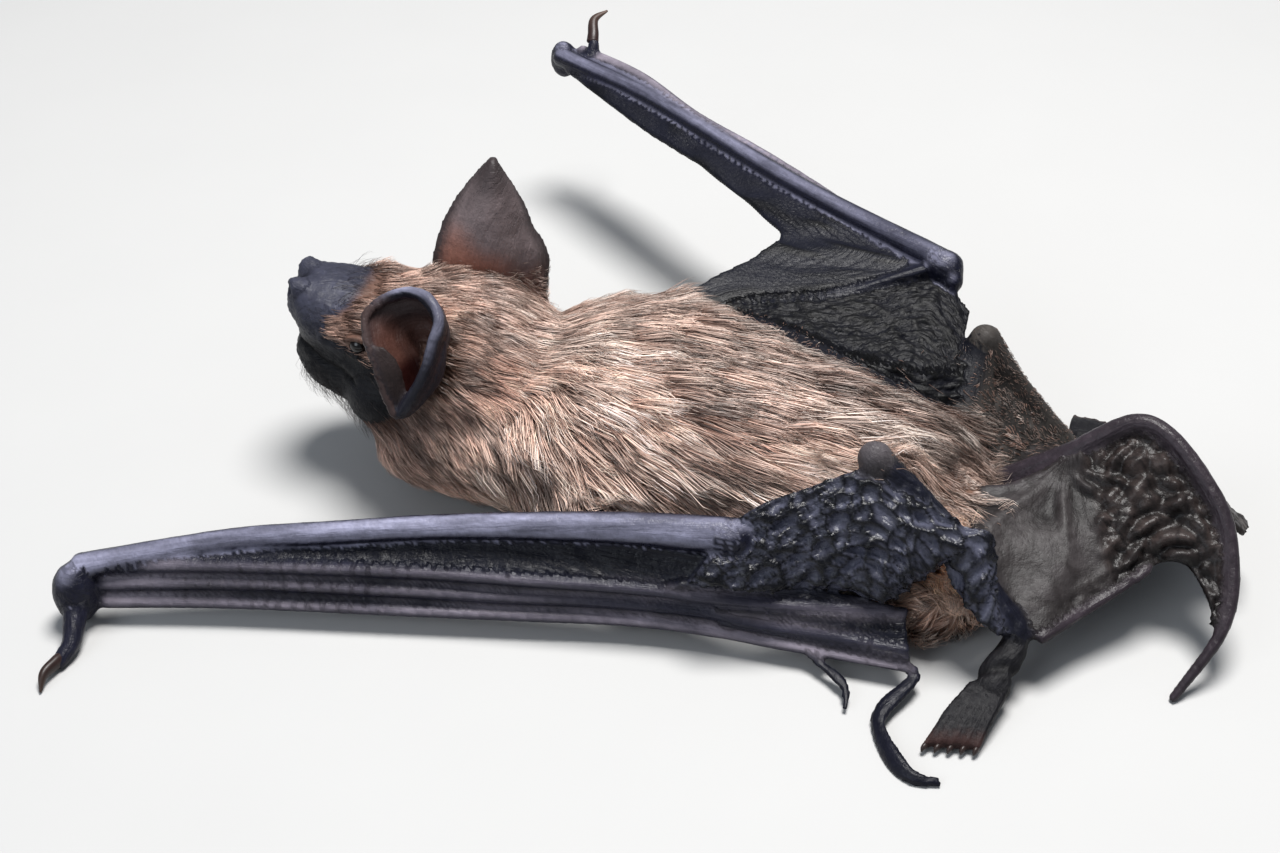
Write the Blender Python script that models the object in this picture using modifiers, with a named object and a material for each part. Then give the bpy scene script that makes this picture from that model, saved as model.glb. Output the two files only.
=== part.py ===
"""A brown bat (Eptesicus) lying on its belly: a still, life-size museum model in solid pieces.

The head points to -Y, the bat's left side is +X and +Z is up. The origin is on the floor under
the middle of the trunk, where the belly rests. Tables are in millimetres. Each form is swept
along a spine, or spread as a web of skin between two edges, and is then trimmed by the pieces
that it grows from, so that a gap of GAP parts neighbours.
"""

import math

import bmesh
import bpy
import numpy as np

MM = 0.001
GAP = 0.3  # clearance left between two pieces, mm
SKIN = 0.55  # thickness of the flight membranes, mm
EAR_SKIN = 0.7  # thickness of the ear conch, mm

# Skull: its centre on the row's axes, and the way it looks.
SKULL = (0.4, -14.4, 11.2)
HEAD_PITCH = math.radians(13.0)  # nose up
HEAD_YAW = math.radians(4.0)  # nose towards the bat's left

# Joints of the arms and legs, (x, y, z), shoulder or hip first.
SHOULDER_LEFT = (9.0, -4.0, 4.6)
ELBOW_LEFT = (16.0, 12.6, 9.3)
WRIST_LEFT = (27.4, -36.0, 5.0)
HIP_LEFT = (5.5, 26.0, 6.5)
KNEE_LEFT = (10.4, 22.1, 14.4)
ANKLE_LEFT = (15.6, 34.6, 4.0)
SHOULDER_RIGHT = (-9.0, 3.0, 11.0)
ELBOW_RIGHT = (-16.4, 23.6, 15.4)
WRIST_RIGHT = (-45.2, -19.2, 16.0)
HIP_RIGHT = (-4.0, 27.5, 7.5)
KNEE_RIGHT = (-9.2, 28.2, 13.3)
ANKLE_RIGHT = (-10.2, 36.6, 2.8)

# Axes of the forearms, from the elbow to the wrist.
FOREARM_LEFT = (
    ELBOW_LEFT, (16.9, 3.0, 8.8), (18.7, -9.0, 7.7), (20.9, -18.0, 6.9), (22.9, -25.5, 6.2), WRIST_LEFT,
)
FOREARM_RIGHT = (ELBOW_RIGHT, (-25.2, 9.2, 16.0), (-37.9, -7.2, 16.0), WRIST_RIGHT)

# Spine of the tail: root, tent peak, bend, arc and free tip.
TAIL = (
    (0.3, 29.5, 4.6),
    (0.1, 35.9, 9.6),
    (-1.1, 41.7, 13.0),
    (3.0, 47.2, 10.2),
    (6.9, 49.2, 7.0),
    (11.0, 49.1, 4.0),
    (15.3, 46.3, 0.3),
)

# Fingers of the left hand, each from the wrist to its last joint.
FINGERS_LEFT = {
    "finger_5_left": (
        (26.8, -34.6, 4.7), (24.6, -25.0, 5.0), (21.8, -12.0, 5.0), (20.0, -0.6, 5.0),
        (18.9, 7.0, 5.0), (18.5, 12.1, 4.9), (17.4, 18.4, 4.7), (15.8, 26.0, 4.6),
    ),
    "finger_4_left": (
        (27.3, -34.6, 3.3), (25.0, -25.0, 3.6), (22.3, -11.9, 3.5), (20.9, -4.3, 3.4),
        (19.5, 3.3, 3.5), (18.6, 11.1, 3.6), (18.7, 14.5, 3.2), (18.3, 18.6, 3.0), (18.1, 26.6, 2.9),
    ),
    "finger_3_left": (
        (27.7, -34.4, 1.9), (25.5, -24.9, 2.0), (22.9, -11.9, 2.0), (21.0, -2.4, 2.0),
        (19.5, 5.1, 2.0), (18.9, 10.9, 1.9), (18.7, 17.9, 1.7), (18.6, 27.4, 1.6),
    ),
}
FINGER_3_FOLD_LEFT = (
    (18.9, 27.6, 1.4), (20.2, 27.0, 1.2), (22.5, 25.7, 0.8), (24.3, 25.7, 0.55), (26.8, 27.1, 0.5),
    (28.2, 28.7, 0.45), (28.1, 30.6, 0.3),
)
FINGER_2_TIP_LEFT = ((19.4, 20.4, 1.2), (20.3, 21.9, 1.0), (21.3, 22.7, 0.8), (22.9, 23.0, 0.5))

# Fingers of the right hand, folded back along the far side of the forearm.
FINGERS_RIGHT = {
    "finger_3_right": (
        (-46.6, -17.4, 16.3), (-41.9, -9.9, 16.6), (-35.2, -2.6, 16.5), (-29.6, 5.4, 16.3),
        (-24.0, 14.0, 15.2), (-20.6, 19.4, 13.2), (-18.0, 22.4, 9.0), (-16.0, 24.4, 4.6),
    ),
    "finger_4_right": (
        (-46.8, -17.0, 15.0), (-42.1, -9.5, 15.3), (-35.4, -2.2, 15.2), (-29.8, 5.8, 15.0),
        (-24.3, 14.2, 13.8), (-20.6, 19.0, 11.4), (-17.6, 21.0, 7.4), (-15.4, 22.0, 3.4),
    ),
    "finger_5_right": (
        (-46.8, -16.8, 13.7), (-42.1, -9.3, 14.0), (-35.4, -2.0, 13.9), (-29.8, 6.0, 13.7),
        (-24.0, 13.8, 12.4), (-20.0, 17.4, 9.8), (-16.8, 18.6, 6.0),
    ),
}

# Edges of the flight membranes.
PLAGIO_LEFT_UPPER = (
    (15.6, 12.6, 10.4), (14.3, 14.5, 11.3), (13.2, 16.7, 12.0), (12.0, 18.8, 12.6), (11.2, 20.6, 13.2),
    (10.9, 22.4, 13.6), (11.2, 24.1, 13.0), (11.7, 26.0, 12.1), (12.4, 28.1, 11.4), (12.8, 29.5, 11.0),
    (12.5, 31.0, 10.6), (13.2, 31.5, 9.2), (14.1, 32.0, 7.6), (15.2, 32.6, 6.0), (16.2, 33.6, 4.6),
)
PLAGIO_LEFT_LOWER = (
    (18.6, 10.1, 6.4), (17.8, 13.6, 6.1), (17.2, 15.4, 5.9), (16.4, 17.8, 5.9), (15.7, 20.9, 5.9),
    (15.9, 22.6, 5.8), (16.0, 24.2, 5.7), (15.2, 25.2, 6.2), (14.4, 26.2, 7.0), (13.8, 27.3, 8.0),
    (13.6, 28.4, 8.8), (14.0, 28.9, 7.9), (14.6, 29.8, 6.7), (15.3, 31.0, 5.6), (16.0, 32.2, 4.7),
)
FIFTH_WEB_UPPER = (
    (18.6, 9.4, 6.2), (17.4, 14.4, 5.6), (16.3, 18.4, 5.5), (15.8, 22.0, 5.3), (15.9, 25.2, 5.0),
)
HAND_WEB_LOWER = ((18.8, 12.5, 2.8), (18.5, 18.0, 2.4), (18.6, 27.0, 2.2))
ARM_WEB_RIGHT = (
    (-10.4, 6.0, 12.6), (-12.0, 13.6, 13.4), (-13.6, 18.6, 13.8), (-16.0, 23.4, 14.4), (-13.0, 26.4, 13.0),
)
FLANK_RIGHT = (
    (-8.6, 5.4, 12.2), (-7.8, 10.4, 12.8), (-5.6, 15.2, 12.9), (-4.4, 19.6, 12.6), (-4.6, 23.4, 12.0),
    (-6.2, 26.6, 11.6),
)
PROPATAGIUM_RIGHT_EDGE = (
    (-44.0, -18.4, 15.0), (-35.8, -9.3, 14.8), (-30.2, -2.3, 14.8), (-25.0, 3.3, 14.8), (-21.5, 6.6, 14.8),
    (-19.0, 8.9, 14.7), (-16.8, 8.6, 14.6), (-14.7, 7.1, 14.2), (-12.8, 5.2, 13.8), (-10.7, 3.4, 13.2),
)
PROPATAGIUM_RIGHT_ARM = (
    (-44.2, -18.6, 16.0), (-37.9, -7.2, 15.8), (-25.2, 9.2, 15.8), (-17.4, 22.2, 15.4), (-14.0, 19.6, 14.2),
    (-11.0, 8.0, 12.9),
)
LEG_WEB_RIGHT_TAIL = ((-8.9, 28.6, 12.2), (-6.0, 28.9, 9.9), (-2.6, 29.6, 8.0), (-0.6, 31.0, 6.4))
LEG_WEB_RIGHT_SHIN = ((-9.0, 30.0, 11.6), (-9.1, 31.6, 9.0), (-9.4, 34.2, 6.0), (-9.4, 36.2, 3.8))
TAIL_WEB_LEG = (
    (10.6, 30.8, 8.8), (12.8, 31.8, 7.0), (15.2, 33.8, 4.8), (15.6, 36.4, 4.3), (12.4, 38.8, 4.7),
    (10.3, 40.9, 5.3), (7.6, 43.5, 6.2), (7.4, 45.8, 6.6), (9.1, 47.4, 5.4), (11.2, 48.3, 4.4),
)
TAIL_WEB_RIDGE = (
    (6.4, 28.0, 8.4), (4.6, 30.0, 8.5), (3.9, 32.1, 8.8), (2.4, 34.1, 9.2), (0.8, 36.2, 9.9),
    (-0.4, 38.5, 11.2), (-0.6, 41.6, 12.6), (2.6, 46.6, 10.2), (6.2, 48.6, 7.4), (10.4, 48.8, 4.6),
)
TAIL_WEB_RIGHT_EDGE = (
    (-5.2, 29.0, 8.2), (-8.6, 32.4, 6.0), (-9.8, 36.4, 3.4), (-8.6, 40.6, 3.4), (-6.2, 45.0, 4.0),
    (-2.6, 48.8, 4.6), (-0.9, 50.6, 5.2), (2.6, 50.2, 6.6),
)
CALCAR_LEFT = ((15.7, 36.2, 4.2), (12.6, 38.8, 4.6), (10.5, 40.9, 5.2), (8.0, 43.4, 6.0))
CALCAR_RIGHT = ((-10.2, 38.0, 2.6), (-9.4, 41.0, 2.6), (-7.4, 44.6, 3.2))

# Rims of the ears. The right ear stands up, and the left one lies open with its top rolled back.
EAR_RIGHT_FRONT = (
    (-1.6, -16.6, 13.6), (-2.4, -17.4, 16.4), (-3.0, -17.2, 18.6), (-4.2, -16.6, 20.8), (-5.5, -15.4, 23.0),
    (-6.6, -13.2, 25.6),
)
EAR_RIGHT_BACK = (
    (-5.4, -9.0, 12.2), (-6.8, -8.8, 15.0), (-7.2, -8.9, 17.0), (-6.9, -10.0, 19.6), (-6.7, -11.1, 22.6),
    (-6.6, -13.0, 25.6),
)
EAR_LEFT_RIM = (
    (11.2, -15.4, 11.2), (11.0, -16.4, 13.2), (10.4, -17.4, 15.3), (9.2, -18.7, 17.2), (7.8, -19.2, 18.6),
    (6.5, -17.9, 19.5), (6.0, -15.8, 20.0), (6.8, -13.7, 19.7), (7.8, -12.7, 18.8), (8.8, -12.6, 17.2),
    (9.6, -12.3, 15.3), (10.2, -12.1, 13.2), (10.9, -13.4, 11.6),
)
EAR_LEFT_BOTTOM = (6.2, -14.6, 14.4)  # the deepest point of the left ear's cup
TRAGUS_LEFT = ((8.6, -15.9, 12.6), (9.6, -16.4, 13.8), (10.0, -16.7, 15.4))
TRAGUS_RIGHT = ((-6.4, -15.4, 15.0), (-7.4, -15.8, 17.0), (-8.0, -15.8, 18.6))

# Sections of the head: ahead of the skull's centre, half width, top and underside.
SKULL_SECTIONS = (
    (-6.8, 6.2, 4.4, -6.0),
    (-4.0, 7.9, 5.8, -7.4),
    (-0.5, 8.4, 6.2, -8.0),
    (3.0, 7.9, 5.6, -7.8),
    (6.0, 6.6, 4.5, -7.0),
    (8.2, 5.4, 3.8, -6.4),
)
MUZZLE_SECTIONS = (
    (7.6, 4.7, 3.5, -3.4),
    (10.0, 4.6, 3.7, -2.6),
    (11.8, 4.3, 3.6, -2.3),
    (13.1, 3.7, 3.2, -2.0),
    (13.8, 2.8, 2.5, -1.5),
)
JAW_SECTIONS = (
    (7.6, 4.9, -2.6, -6.2),
    (9.6, 4.4, -2.6, -6.0),
    (11.4, 3.7, -2.6, -5.6),
    (12.8, 2.4, -2.6, -4.6),
)

# Sections of the trunk: (y, x, half width, top, underside). NECK is the neck's spine.
TRUNK_SECTIONS = (
    (-7.5, 0.4, 10.6, 12.8, -0.5),
    (-4.0, 0.2, 12.0, 14.4, -0.6),
    (0.0, 0.0, 12.8, 15.4, -0.6),
    (8.0, 0.0, 13.0, 15.8, -0.6),
    (16.0, 0.9, 12.2, 14.8, -0.6),
    (22.0, 2.0, 11.0, 13.2, -0.5),
    (26.5, 2.4, 9.4, 11.4, -0.4),
    (28.4, 2.0, 7.6, 10.0, 0.4),
)
NECK = ((1.9, -17.0, 5.2), (1.0, -10.0, 5.6), (0.5, -4.0, 7.0))

# Thumbs and their claws, and the tips of the first and last toe of each foot.
FINGER_RADII = (0.52, 0.46, 0.46, 0.38)
THUMB_LEFT = ((29.4, -35.9, 2.2), (31.8, -35.2, 1.1), (33.6, -35.4, 0.55))
THUMB_CLAW_LEFT = ((33.9, -35.5, 0.7), (35.2, -35.7, 0.75), (36.4, -35.4, 0.15))
THUMB_RIGHT = ((-45.2, -16.6, 15.9), (-45.8, -16.0, 17.0), (-46.6, -16.2, 17.8))
THUMB_CLAW_RIGHT = ((-46.9, -16.3, 18.1), (-48.4, -16.6, 19.0), (-49.9, -15.6, 19.5))
TOE_TIPS_LEFT = ((25.0, 29.2, 0.2), (24.4, 32.8, 0.2))
TOE_TIPS_RIGHT = ((-17.6, 36.6, 0.2), (-17.2, 40.0, 0.2))

# Base colour and roughness of each material.
PAINTS = {
    "brown_fur": ((0.21, 0.115, 0.065), 0.85),
    "dark_skin": ((0.022, 0.021, 0.027), 0.5),
    "flight_membrane": ((0.03, 0.027, 0.03), 0.55),
    "tail_membrane": ((0.16, 0.125, 0.11), 0.6),
    "ear_skin": ((0.12, 0.06, 0.05), 0.6),
    "claw_horn": ((0.05, 0.032, 0.028), 0.4),
    "eye": ((0.006, 0.005, 0.005), 0.12),
}


def vector(values):
    return np.asarray(values, dtype=float)


def smooth_rows(rows, count):
    """Count rows read evenly off the Catmull-Rom curve through the given rows."""
    rows = vector(rows)
    if len(rows) == 2:
        return rows[0] + np.linspace(0, 1, count)[:, None] * (rows[1] - rows[0])
    ends = np.vstack([2 * rows[0] - rows[1], rows, 2 * rows[-1] - rows[-2]])
    place = np.linspace(0, len(rows) - 1, count)
    first = np.minimum(place.astype(int), len(rows) - 2)
    t = (place - first)[:, None]
    a, b, c, d = (ends[first + k] for k in range(4))
    return 0.5 * (2 * b + (c - a) * t + (2 * a - 5 * b + 4 * c - d) * t**2 + (3 * b - a - 3 * c + d) * t**3)


def unit(rows):
    return rows / np.maximum(np.linalg.norm(rows, axis=-1, keepdims=True), 1e-9)


def frames(path, up):
    """The side and upper directions square to a path, for sections that stay level with up."""
    along = unit(np.gradient(path, axis=0))
    side = unit(np.cross(along, vector(up)))
    return along, side, np.cross(side, along)


def oval(count, squareness):
    angle = np.linspace(0, 2 * math.pi, count, endpoint=False)
    across, upward = np.cos(angle), np.sin(angle)
    power = 2 / squareness
    return np.sign(across) * np.abs(across) ** power, np.sign(upward) * np.abs(upward) ** power


def sweep(path, half_widths, half_heights, sides, up=(0, 0, 1), squareness=2.0, dome=0.8):
    """Closed rings along a path, with domed ends: (points, faces)."""
    path, half_widths, half_heights = vector(path), vector(half_widths), vector(half_heights)
    along, side, upper = frames(path, up)
    across, upward = oval(sides, squareness)
    # Smaller rings round each end off, `dome` of the end's size beyond it: one on a slender piece.
    turns = [math.radians(turn) for turn in ((38, 68) if sides > 8 else (52,))]
    stations = [(0, -math.sin(turn), math.cos(turn)) for turn in reversed(turns)]
    stations += [(k, 0.0, 1.0) for k in range(len(path))]
    stations += [(-1, math.sin(turn), math.cos(turn)) for turn in turns]
    rings = []
    for k, beyond, size in stations:
        reach = beyond * dome * min(half_widths[k], half_heights[k])
        centre = path[k] + along[k] * reach
        rings.append(
            centre
            + np.outer(across * half_widths[k] * size, side[k])
            + np.outer(upward * half_heights[k] * size, upper[k])
        )
    points = np.vstack(rings)
    count = len(rings)
    faces = []
    for ring in range(count - 1):
        for k in range(sides):
            a, b = ring * sides + k, ring * sides + (k + 1) % sides
            faces.append((a, b, b + sides, a + sides))
    faces.append(tuple(range(sides - 1, -1, -1)))
    faces.append(tuple(range((count - 1) * sides, count * sides)))
    return points, faces


def limb(joints, radii, sides=8, rings=8, up=(0, 0, 1), flatness=1.0, dome=0.8):
    """A rounded limb through its joints. radii go with the joints, flatness is height by width."""
    rows = smooth_rows(np.column_stack([vector(joints), vector(radii)]), rings)
    return sweep(rows[:, :3], rows[:, 3], rows[:, 3] * flatness, sides, up, dome=dome)


def web(first_edge, second_edge, columns, rows, bulge=(0, 0, 0)):
    """A sheet of skin between two edges, arched between them by bulge: (points, faces)."""
    first, second = smooth_rows(first_edge, columns), smooth_rows(second_edge, columns)
    share = np.linspace(0, 1, rows)[:, None, None]
    arch = 4 * share * (1 - share) * np.sin(np.linspace(0, math.pi, columns))[None, :, None] ** 0.5
    points = (first * (1 - share) + second * share + arch * vector(bulge)).reshape(-1, 3)
    faces = [
        (r * columns + c, r * columns + c + 1, (r + 1) * columns + c + 1, (r + 1) * columns + c)
        for r in range(rows - 1)
        for c in range(columns - 1)
    ]
    return points, faces


# ---------------------------------------------------------------------------------------------
# Blender objects


def collection(name, hidden=False):
    made = bpy.data.collections.new(name)
    bpy.context.scene.collection.children.link(made)
    made.hide_render = hidden
    return made


def material(name, colour, roughness):
    made = bpy.data.materials.new(name)
    made.use_nodes = True
    shader = made.node_tree.nodes["Principled BSDF"]
    shader.inputs["Base Color"].default_value = (*colour, 1.0)
    shader.inputs["Roughness"].default_value = roughness
    shader.inputs["Metallic"].default_value = 0.0
    return made


def mesh_object(name, shape, group, finish=None, thickness=0.0):
    """An object made from (points, faces) in millimetres; a sheet is given its thickness."""
    points, faces = shape
    mesh = bpy.data.meshes.new(name)
    mesh.from_pydata((vector(points) * MM).tolist(), [], faces)
    made = bpy.data.objects.new(name, mesh)
    group.objects.link(made)
    if thickness:
        solidify = made.modifiers.new("Thickness", "SOLIDIFY")
        solidify.thickness = thickness * MM
        solidify.offset = 0.0
        solidify.use_even_offset = True
        bpy.context.view_layer.update()
        made.data = evaluated_mesh(made)
        made.modifiers.clear()
    tidy_normals(made.data)
    if finish:
        made.data.materials.append(finish)
    return made


def tidy_normals(mesh):
    work = bmesh.new()
    work.from_mesh(mesh)
    bmesh.ops.recalc_face_normals(work, faces=work.faces)
    work.to_mesh(mesh)
    work.free()


def evaluated_mesh(thing):
    graph = bpy.context.evaluated_depsgraph_get()
    return bpy.data.meshes.new_from_object(thing.evaluated_get(graph))


def swollen(thing, group, reach):
    """A hidden cutter: the piece pushed out along its normals by reach millimetres."""
    mesh = evaluated_mesh(thing)
    work = bmesh.new()
    work.from_mesh(mesh)
    bmesh.ops.triangulate(work, faces=work.faces)
    work.normal_update()
    moves = {vert: vert.normal * vert.calc_shell_factor() for vert in work.verts}
    for vert, move in moves.items():
        vert.co += move.normalized() * min(move.length, 1.6) * reach * MM
    work.to_mesh(mesh)
    work.free()
    cutter = bpy.data.objects.new(thing.name + "_clearance", mesh)
    cutter.hide_render = True
    cutter.display_type = "WIRE"
    group.objects.link(cutter)
    return cutter


def box_of(thing):
    corners = np.array([thing.matrix_world @ vert.co for vert in thing.data.vertices])
    return corners.min(axis=0), corners.max(axis=0)


def boxes_meet(a, b):
    return bool(np.all(a[0] <= b[1]) and np.all(b[0] <= a[1]))


def keep_largest_body(work):
    """Booleans can cut a corner off a thin sheet: only the main body stays."""
    unseen, bodies = set(work.verts), []
    while unseen:
        body, front = set(), [unseen.pop()]
        while front:
            vert = front.pop()
            body.add(vert)
            for edge in vert.link_edges:
                other = edge.other_vert(vert)
                if other in unseen:
                    unseen.discard(other)
                    front.append(other)
        bodies.append(body)
    bodies.sort(key=len, reverse=True)
    loose = [vert for body in bodies[1:] for vert in body]
    bmesh.ops.delete(work, geom=loose, context="VERTS")


def is_closed(work):
    closed = len(work.faces) > 3 and all(edge.is_manifold and edge.is_contiguous for edge in work.edges)
    return closed and work.calc_volume(signed=True) > 0


def cut_away(thing, cutter):
    """Takes a cutter from a piece for good, with whichever solver leaves one closed body."""
    for solver in ("EXACT", "MANIFOLD"):
        cut = thing.modifiers.new("Cut", "BOOLEAN")
        cut.object = cutter
        cut.solver = solver
        bpy.context.view_layer.update()
        mesh = evaluated_mesh(thing)
        thing.modifiers.remove(cut)
        for merge in (2e-6, 2e-7, 0.0):
            work = bmesh.new()
            work.from_mesh(mesh)
            if merge:
                bmesh.ops.remove_doubles(work, verts=work.verts, dist=merge)
                bmesh.ops.dissolve_degenerate(work, edges=work.edges, dist=merge)
            keep_largest_body(work)
            closed = is_closed(work)
            if closed:
                work.to_mesh(mesh)
            work.free()
            if closed:
                thing.modifiers.clear()
                thing.data = mesh
                bpy.context.view_layer.update()
                return
    raise ValueError(f"{thing.name} isn't one closed body once {cutter.name} is taken from it")


def wrap(mesh):
    """Turns a mesh into its convex hull, so that a bowl keeps clear what it holds."""
    work = bmesh.new()
    for vert in mesh.vertices:
        work.verts.new(vert.co)
    bmesh.ops.convex_hull(work, input=work.verts)
    inside = [vert for vert in work.verts if not vert.link_faces]
    bmesh.ops.delete(work, geom=inside, context="VERTS")
    bmesh.ops.recalc_face_normals(work, faces=work.faces)
    work.to_mesh(mesh)
    work.free()


class Bat:
    """Collects the pieces. Each new piece is trimmed by the earlier ones that it meets."""

    def __init__(self):
        self.parts = collection("brown_bat")
        self.cutters = collection("clearances", hidden=True)
        self.made = []

    def add(self, name, shape, finish, thickness=0.0):
        thing = mesh_object(name, shape, self.parts, finish, thickness)
        bpy.context.view_layer.update()
        clearance = swollen(thing, self.cutters, GAP)
        for cutter in self.neighbours(clearance):
            cut_away(thing, cutter)
        self.made.append((thing, clearance))
        return thing

    def keep_clear(self, name):
        """Keeps later pieces out of the hollows of a piece too, by clearing its convex hull."""
        wrap(next(clearance for thing, clearance in self.made if thing.name == name).data)

    def neighbours(self, clearance):
        """The cutters that can reach this piece, the floor's among them."""
        box = box_of(clearance)
        found = [cutter for _, cutter in self.made if boxes_meet(box, box_of(cutter))]
        return found + [self.floor()] if box[0][2] < 0 else found

    def floor(self):
        """The block under the floor, which flattens whatever rests on it."""
        name = "floor_block"
        if name not in bpy.data.objects:
            bpy.ops.mesh.primitive_cube_add(size=0.3, location=(0, 0, -0.15))
            block = bpy.context.object
            block.name = name
            block.hide_render = True
            block.display_type = "WIRE"
            for group in block.users_collection:
                group.objects.unlink(block)
            self.cutters.objects.link(block)
        return bpy.data.objects[name]


# ---------------------------------------------------------------------------------------------
# Head


def head_place(forward, leftward, upward):
    """A place on the head in the row's axes, from its distance ahead of, left of and above SKULL."""
    level = math.cos(HEAD_PITCH)
    ahead = vector((math.sin(HEAD_YAW) * level, -math.cos(HEAD_YAW) * level, math.sin(HEAD_PITCH)))
    left = vector((math.cos(HEAD_YAW), math.sin(HEAD_YAW), 0.0))
    return vector(SKULL) + ahead * forward + left * leftward + np.cross(ahead, left) * upward


def head_sweep(sections, rings, sides, squareness=2.2, dome=0.6):
    rows = smooth_rows(sections, rings)
    middle = (rows[:, 2] + rows[:, 3]) / 2
    path = [head_place(row[0], 0, centre) for row, centre in zip(rows, middle)]
    return sweep(path, rows[:, 1], (rows[:, 2] - rows[:, 3]) / 2, sides, squareness=squareness, dome=dome)


def ball(centre, radii, segments=8, rings=5):
    """An ellipsoid: (points, faces), with its poles up and down."""
    work = bmesh.new()
    bmesh.ops.create_uvsphere(work, u_segments=segments, v_segments=rings, radius=1.0)
    points = [vector(centre) + vector(vert.co) * vector(radii) for vert in work.verts]
    faces = [tuple(vert.index for vert in face.verts) for face in work.faces]
    work.free()
    return points, faces


def cup(rim, bottom, depths=((0.0, 1.0), (0.45, 0.86), (0.85, 0.5)), count=13):
    """An open bowl from its rim loop down to its bottom: (points, faces)."""
    rim, bottom = vector(rim), vector(bottom)
    loop = smooth_rows(np.vstack([rim, rim[:1]]), count + 1)[:-1]
    middle = loop.mean(axis=0)
    rings = [middle + (bottom - middle) * depth + (loop - middle) * size for depth, size in depths]
    points = np.vstack(rings + [bottom[None]])
    faces = []
    for ring in range(len(rings) - 1):
        for k in range(count):
            a, b = ring * count + k, ring * count + (k + 1) % count
            faces.append((a, b, b + count, a + count))
    last, tip = (len(rings) - 1) * count, len(points) - 1
    faces += [(last + k, last + (k + 1) % count, tip) for k in range(count)]
    return points, faces


def united(shapes):
    """One closed solid from several that overlap."""
    group = bpy.context.scene.collection
    pieces = [mesh_object("piece", shape, group) for shape in shapes]
    for other in pieces[1:]:
        join = pieces[0].modifiers.new("Join", "BOOLEAN")
        join.operation = "UNION"
        join.object = other
    bpy.context.view_layer.update()
    mesh = evaluated_mesh(pieces[0])
    points = np.array([vert.co[:] for vert in mesh.vertices]) / MM
    faces = [tuple(face.vertices) for face in mesh.polygons]
    for thing in pieces:
        bpy.data.objects.remove(thing, do_unlink=True)
    bpy.data.meshes.remove(mesh)
    return points, faces


def foot(ankle, ball, tips, radius=0.62):
    """The sole from the ankle to the ball, with five toes side by side: (points, faces)."""
    ankle, ball, tips = vector(ankle), vector(ball), vector(tips)
    shapes = [limb((ankle, (ankle + ball) / 2, ball), (1.3, 1.5, 1.5), 7, 4, flatness=0.72)]
    for k in range(5):
        tip = tips[0] + (tips[1] - tips[0]) * k / 4
        root = ball + (tip - tips.mean(axis=0)) * 0.75
        bend = (root + tip) / 2 + vector((0, 0, 0.45))
        shapes.append(limb((root, bend, tip), (radius, radius * 0.9, radius * 0.5), 5, 3))
    return united(shapes)


def build_head(bat, paint):
    for side, name in ((1, "left"), (-1, "right")):
        bat.add(f"eye_{name}", ball(head_place(6.9, side * 5.1, 1.2), (0.8, 0.8, 0.8)), paint["eye"])
        nostril = ball(head_place(13.9, side * 1.45, 2.3), (0.9, 0.85, 0.8), 8, 6)
        bat.add(f"nostril_{name}", nostril, paint["dark_skin"])
    conch = web(EAR_RIGHT_FRONT, EAR_RIGHT_BACK, 7, 5, bulge=(2.0, 0.9, 0.6))
    bat.add("ear_right", conch, paint["ear_skin"], EAR_SKIN)
    bat.add("ear_left", cup(EAR_LEFT_RIM, EAR_LEFT_BOTTOM), paint["ear_skin"], EAR_SKIN)
    tragus = limb(TRAGUS_LEFT, (0.9, 0.85, 0.5), 6, 4, up=(1, 0, 0), flatness=0.5)
    bat.add("tragus_left", tragus, paint["dark_skin"])
    bat.keep_clear("ear_left")
    bat.keep_clear("ear_right")
    tragus = limb(TRAGUS_RIGHT, (0.9, 0.8, 0.45), 6, 4, up=(1, 0, 0), flatness=0.6)
    bat.add("tragus_right", tragus, paint["dark_skin"])
    bat.add("muzzle", head_sweep(MUZZLE_SECTIONS, 6, 12), paint["dark_skin"])
    bat.add("lower_jaw", head_sweep(JAW_SECTIONS, 5, 10), paint["dark_skin"])
    bat.add("head", head_sweep(SKULL_SECTIONS, 7, 14), paint["brown_fur"])


def build_trunk(bat, paint):
    rows = smooth_rows(TRUNK_SECTIONS, 11)
    path = np.column_stack([rows[:, 1], rows[:, 0], (rows[:, 3] + rows[:, 4]) / 2])
    trunk = sweep(path, rows[:, 2], (rows[:, 3] - rows[:, 4]) / 2, 16, squareness=2.3, dome=0.3)
    bat.add("trunk", trunk, paint["brown_fur"])
    bat.add("neck", limb(NECK, (8.2, 9.9, 10.6), 12, 5, flatness=0.66), paint["brown_fur"])
    bat.add("haunch_left", ball((11.4, 27.4, 2.6), (4.4, 4.6, 3.2), 10, 7), paint["brown_fur"])


def build_arms(bat, hide):
    bat.add("forearm_left", limb(FOREARM_LEFT, (1.5, 1.25, 1.0, 0.95, 0.9, 1.0), 8, 11), hide)
    bat.add("forearm_right", limb(FOREARM_RIGHT, (1.35, 1.05, 0.95, 1.0), 8, 10), hide)
    bat.add("wrist_left", ball((28.2, -36.4, 2.8), (1.9, 1.9, 2.9), 8, 6), hide)
    bat.add("wrist_right", ball((-46.0, -19.2, 15.4), (1.3, 1.5, 2.1), 8, 6), hide)
    upper_arm = limb((SHOULDER_LEFT, (14.2, 3.0, 6.2), ELBOW_LEFT), (1.9, 1.6, 1.3), 8, 6)
    bat.add("upper_arm_left", upper_arm, hide)
    upper_arm = limb((SHOULDER_RIGHT, (-12.2, 15.0, 13.6), ELBOW_RIGHT), (2.2, 1.5, 1.3), 8, 7)
    bat.add("upper_arm_right", upper_arm, hide)


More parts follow.
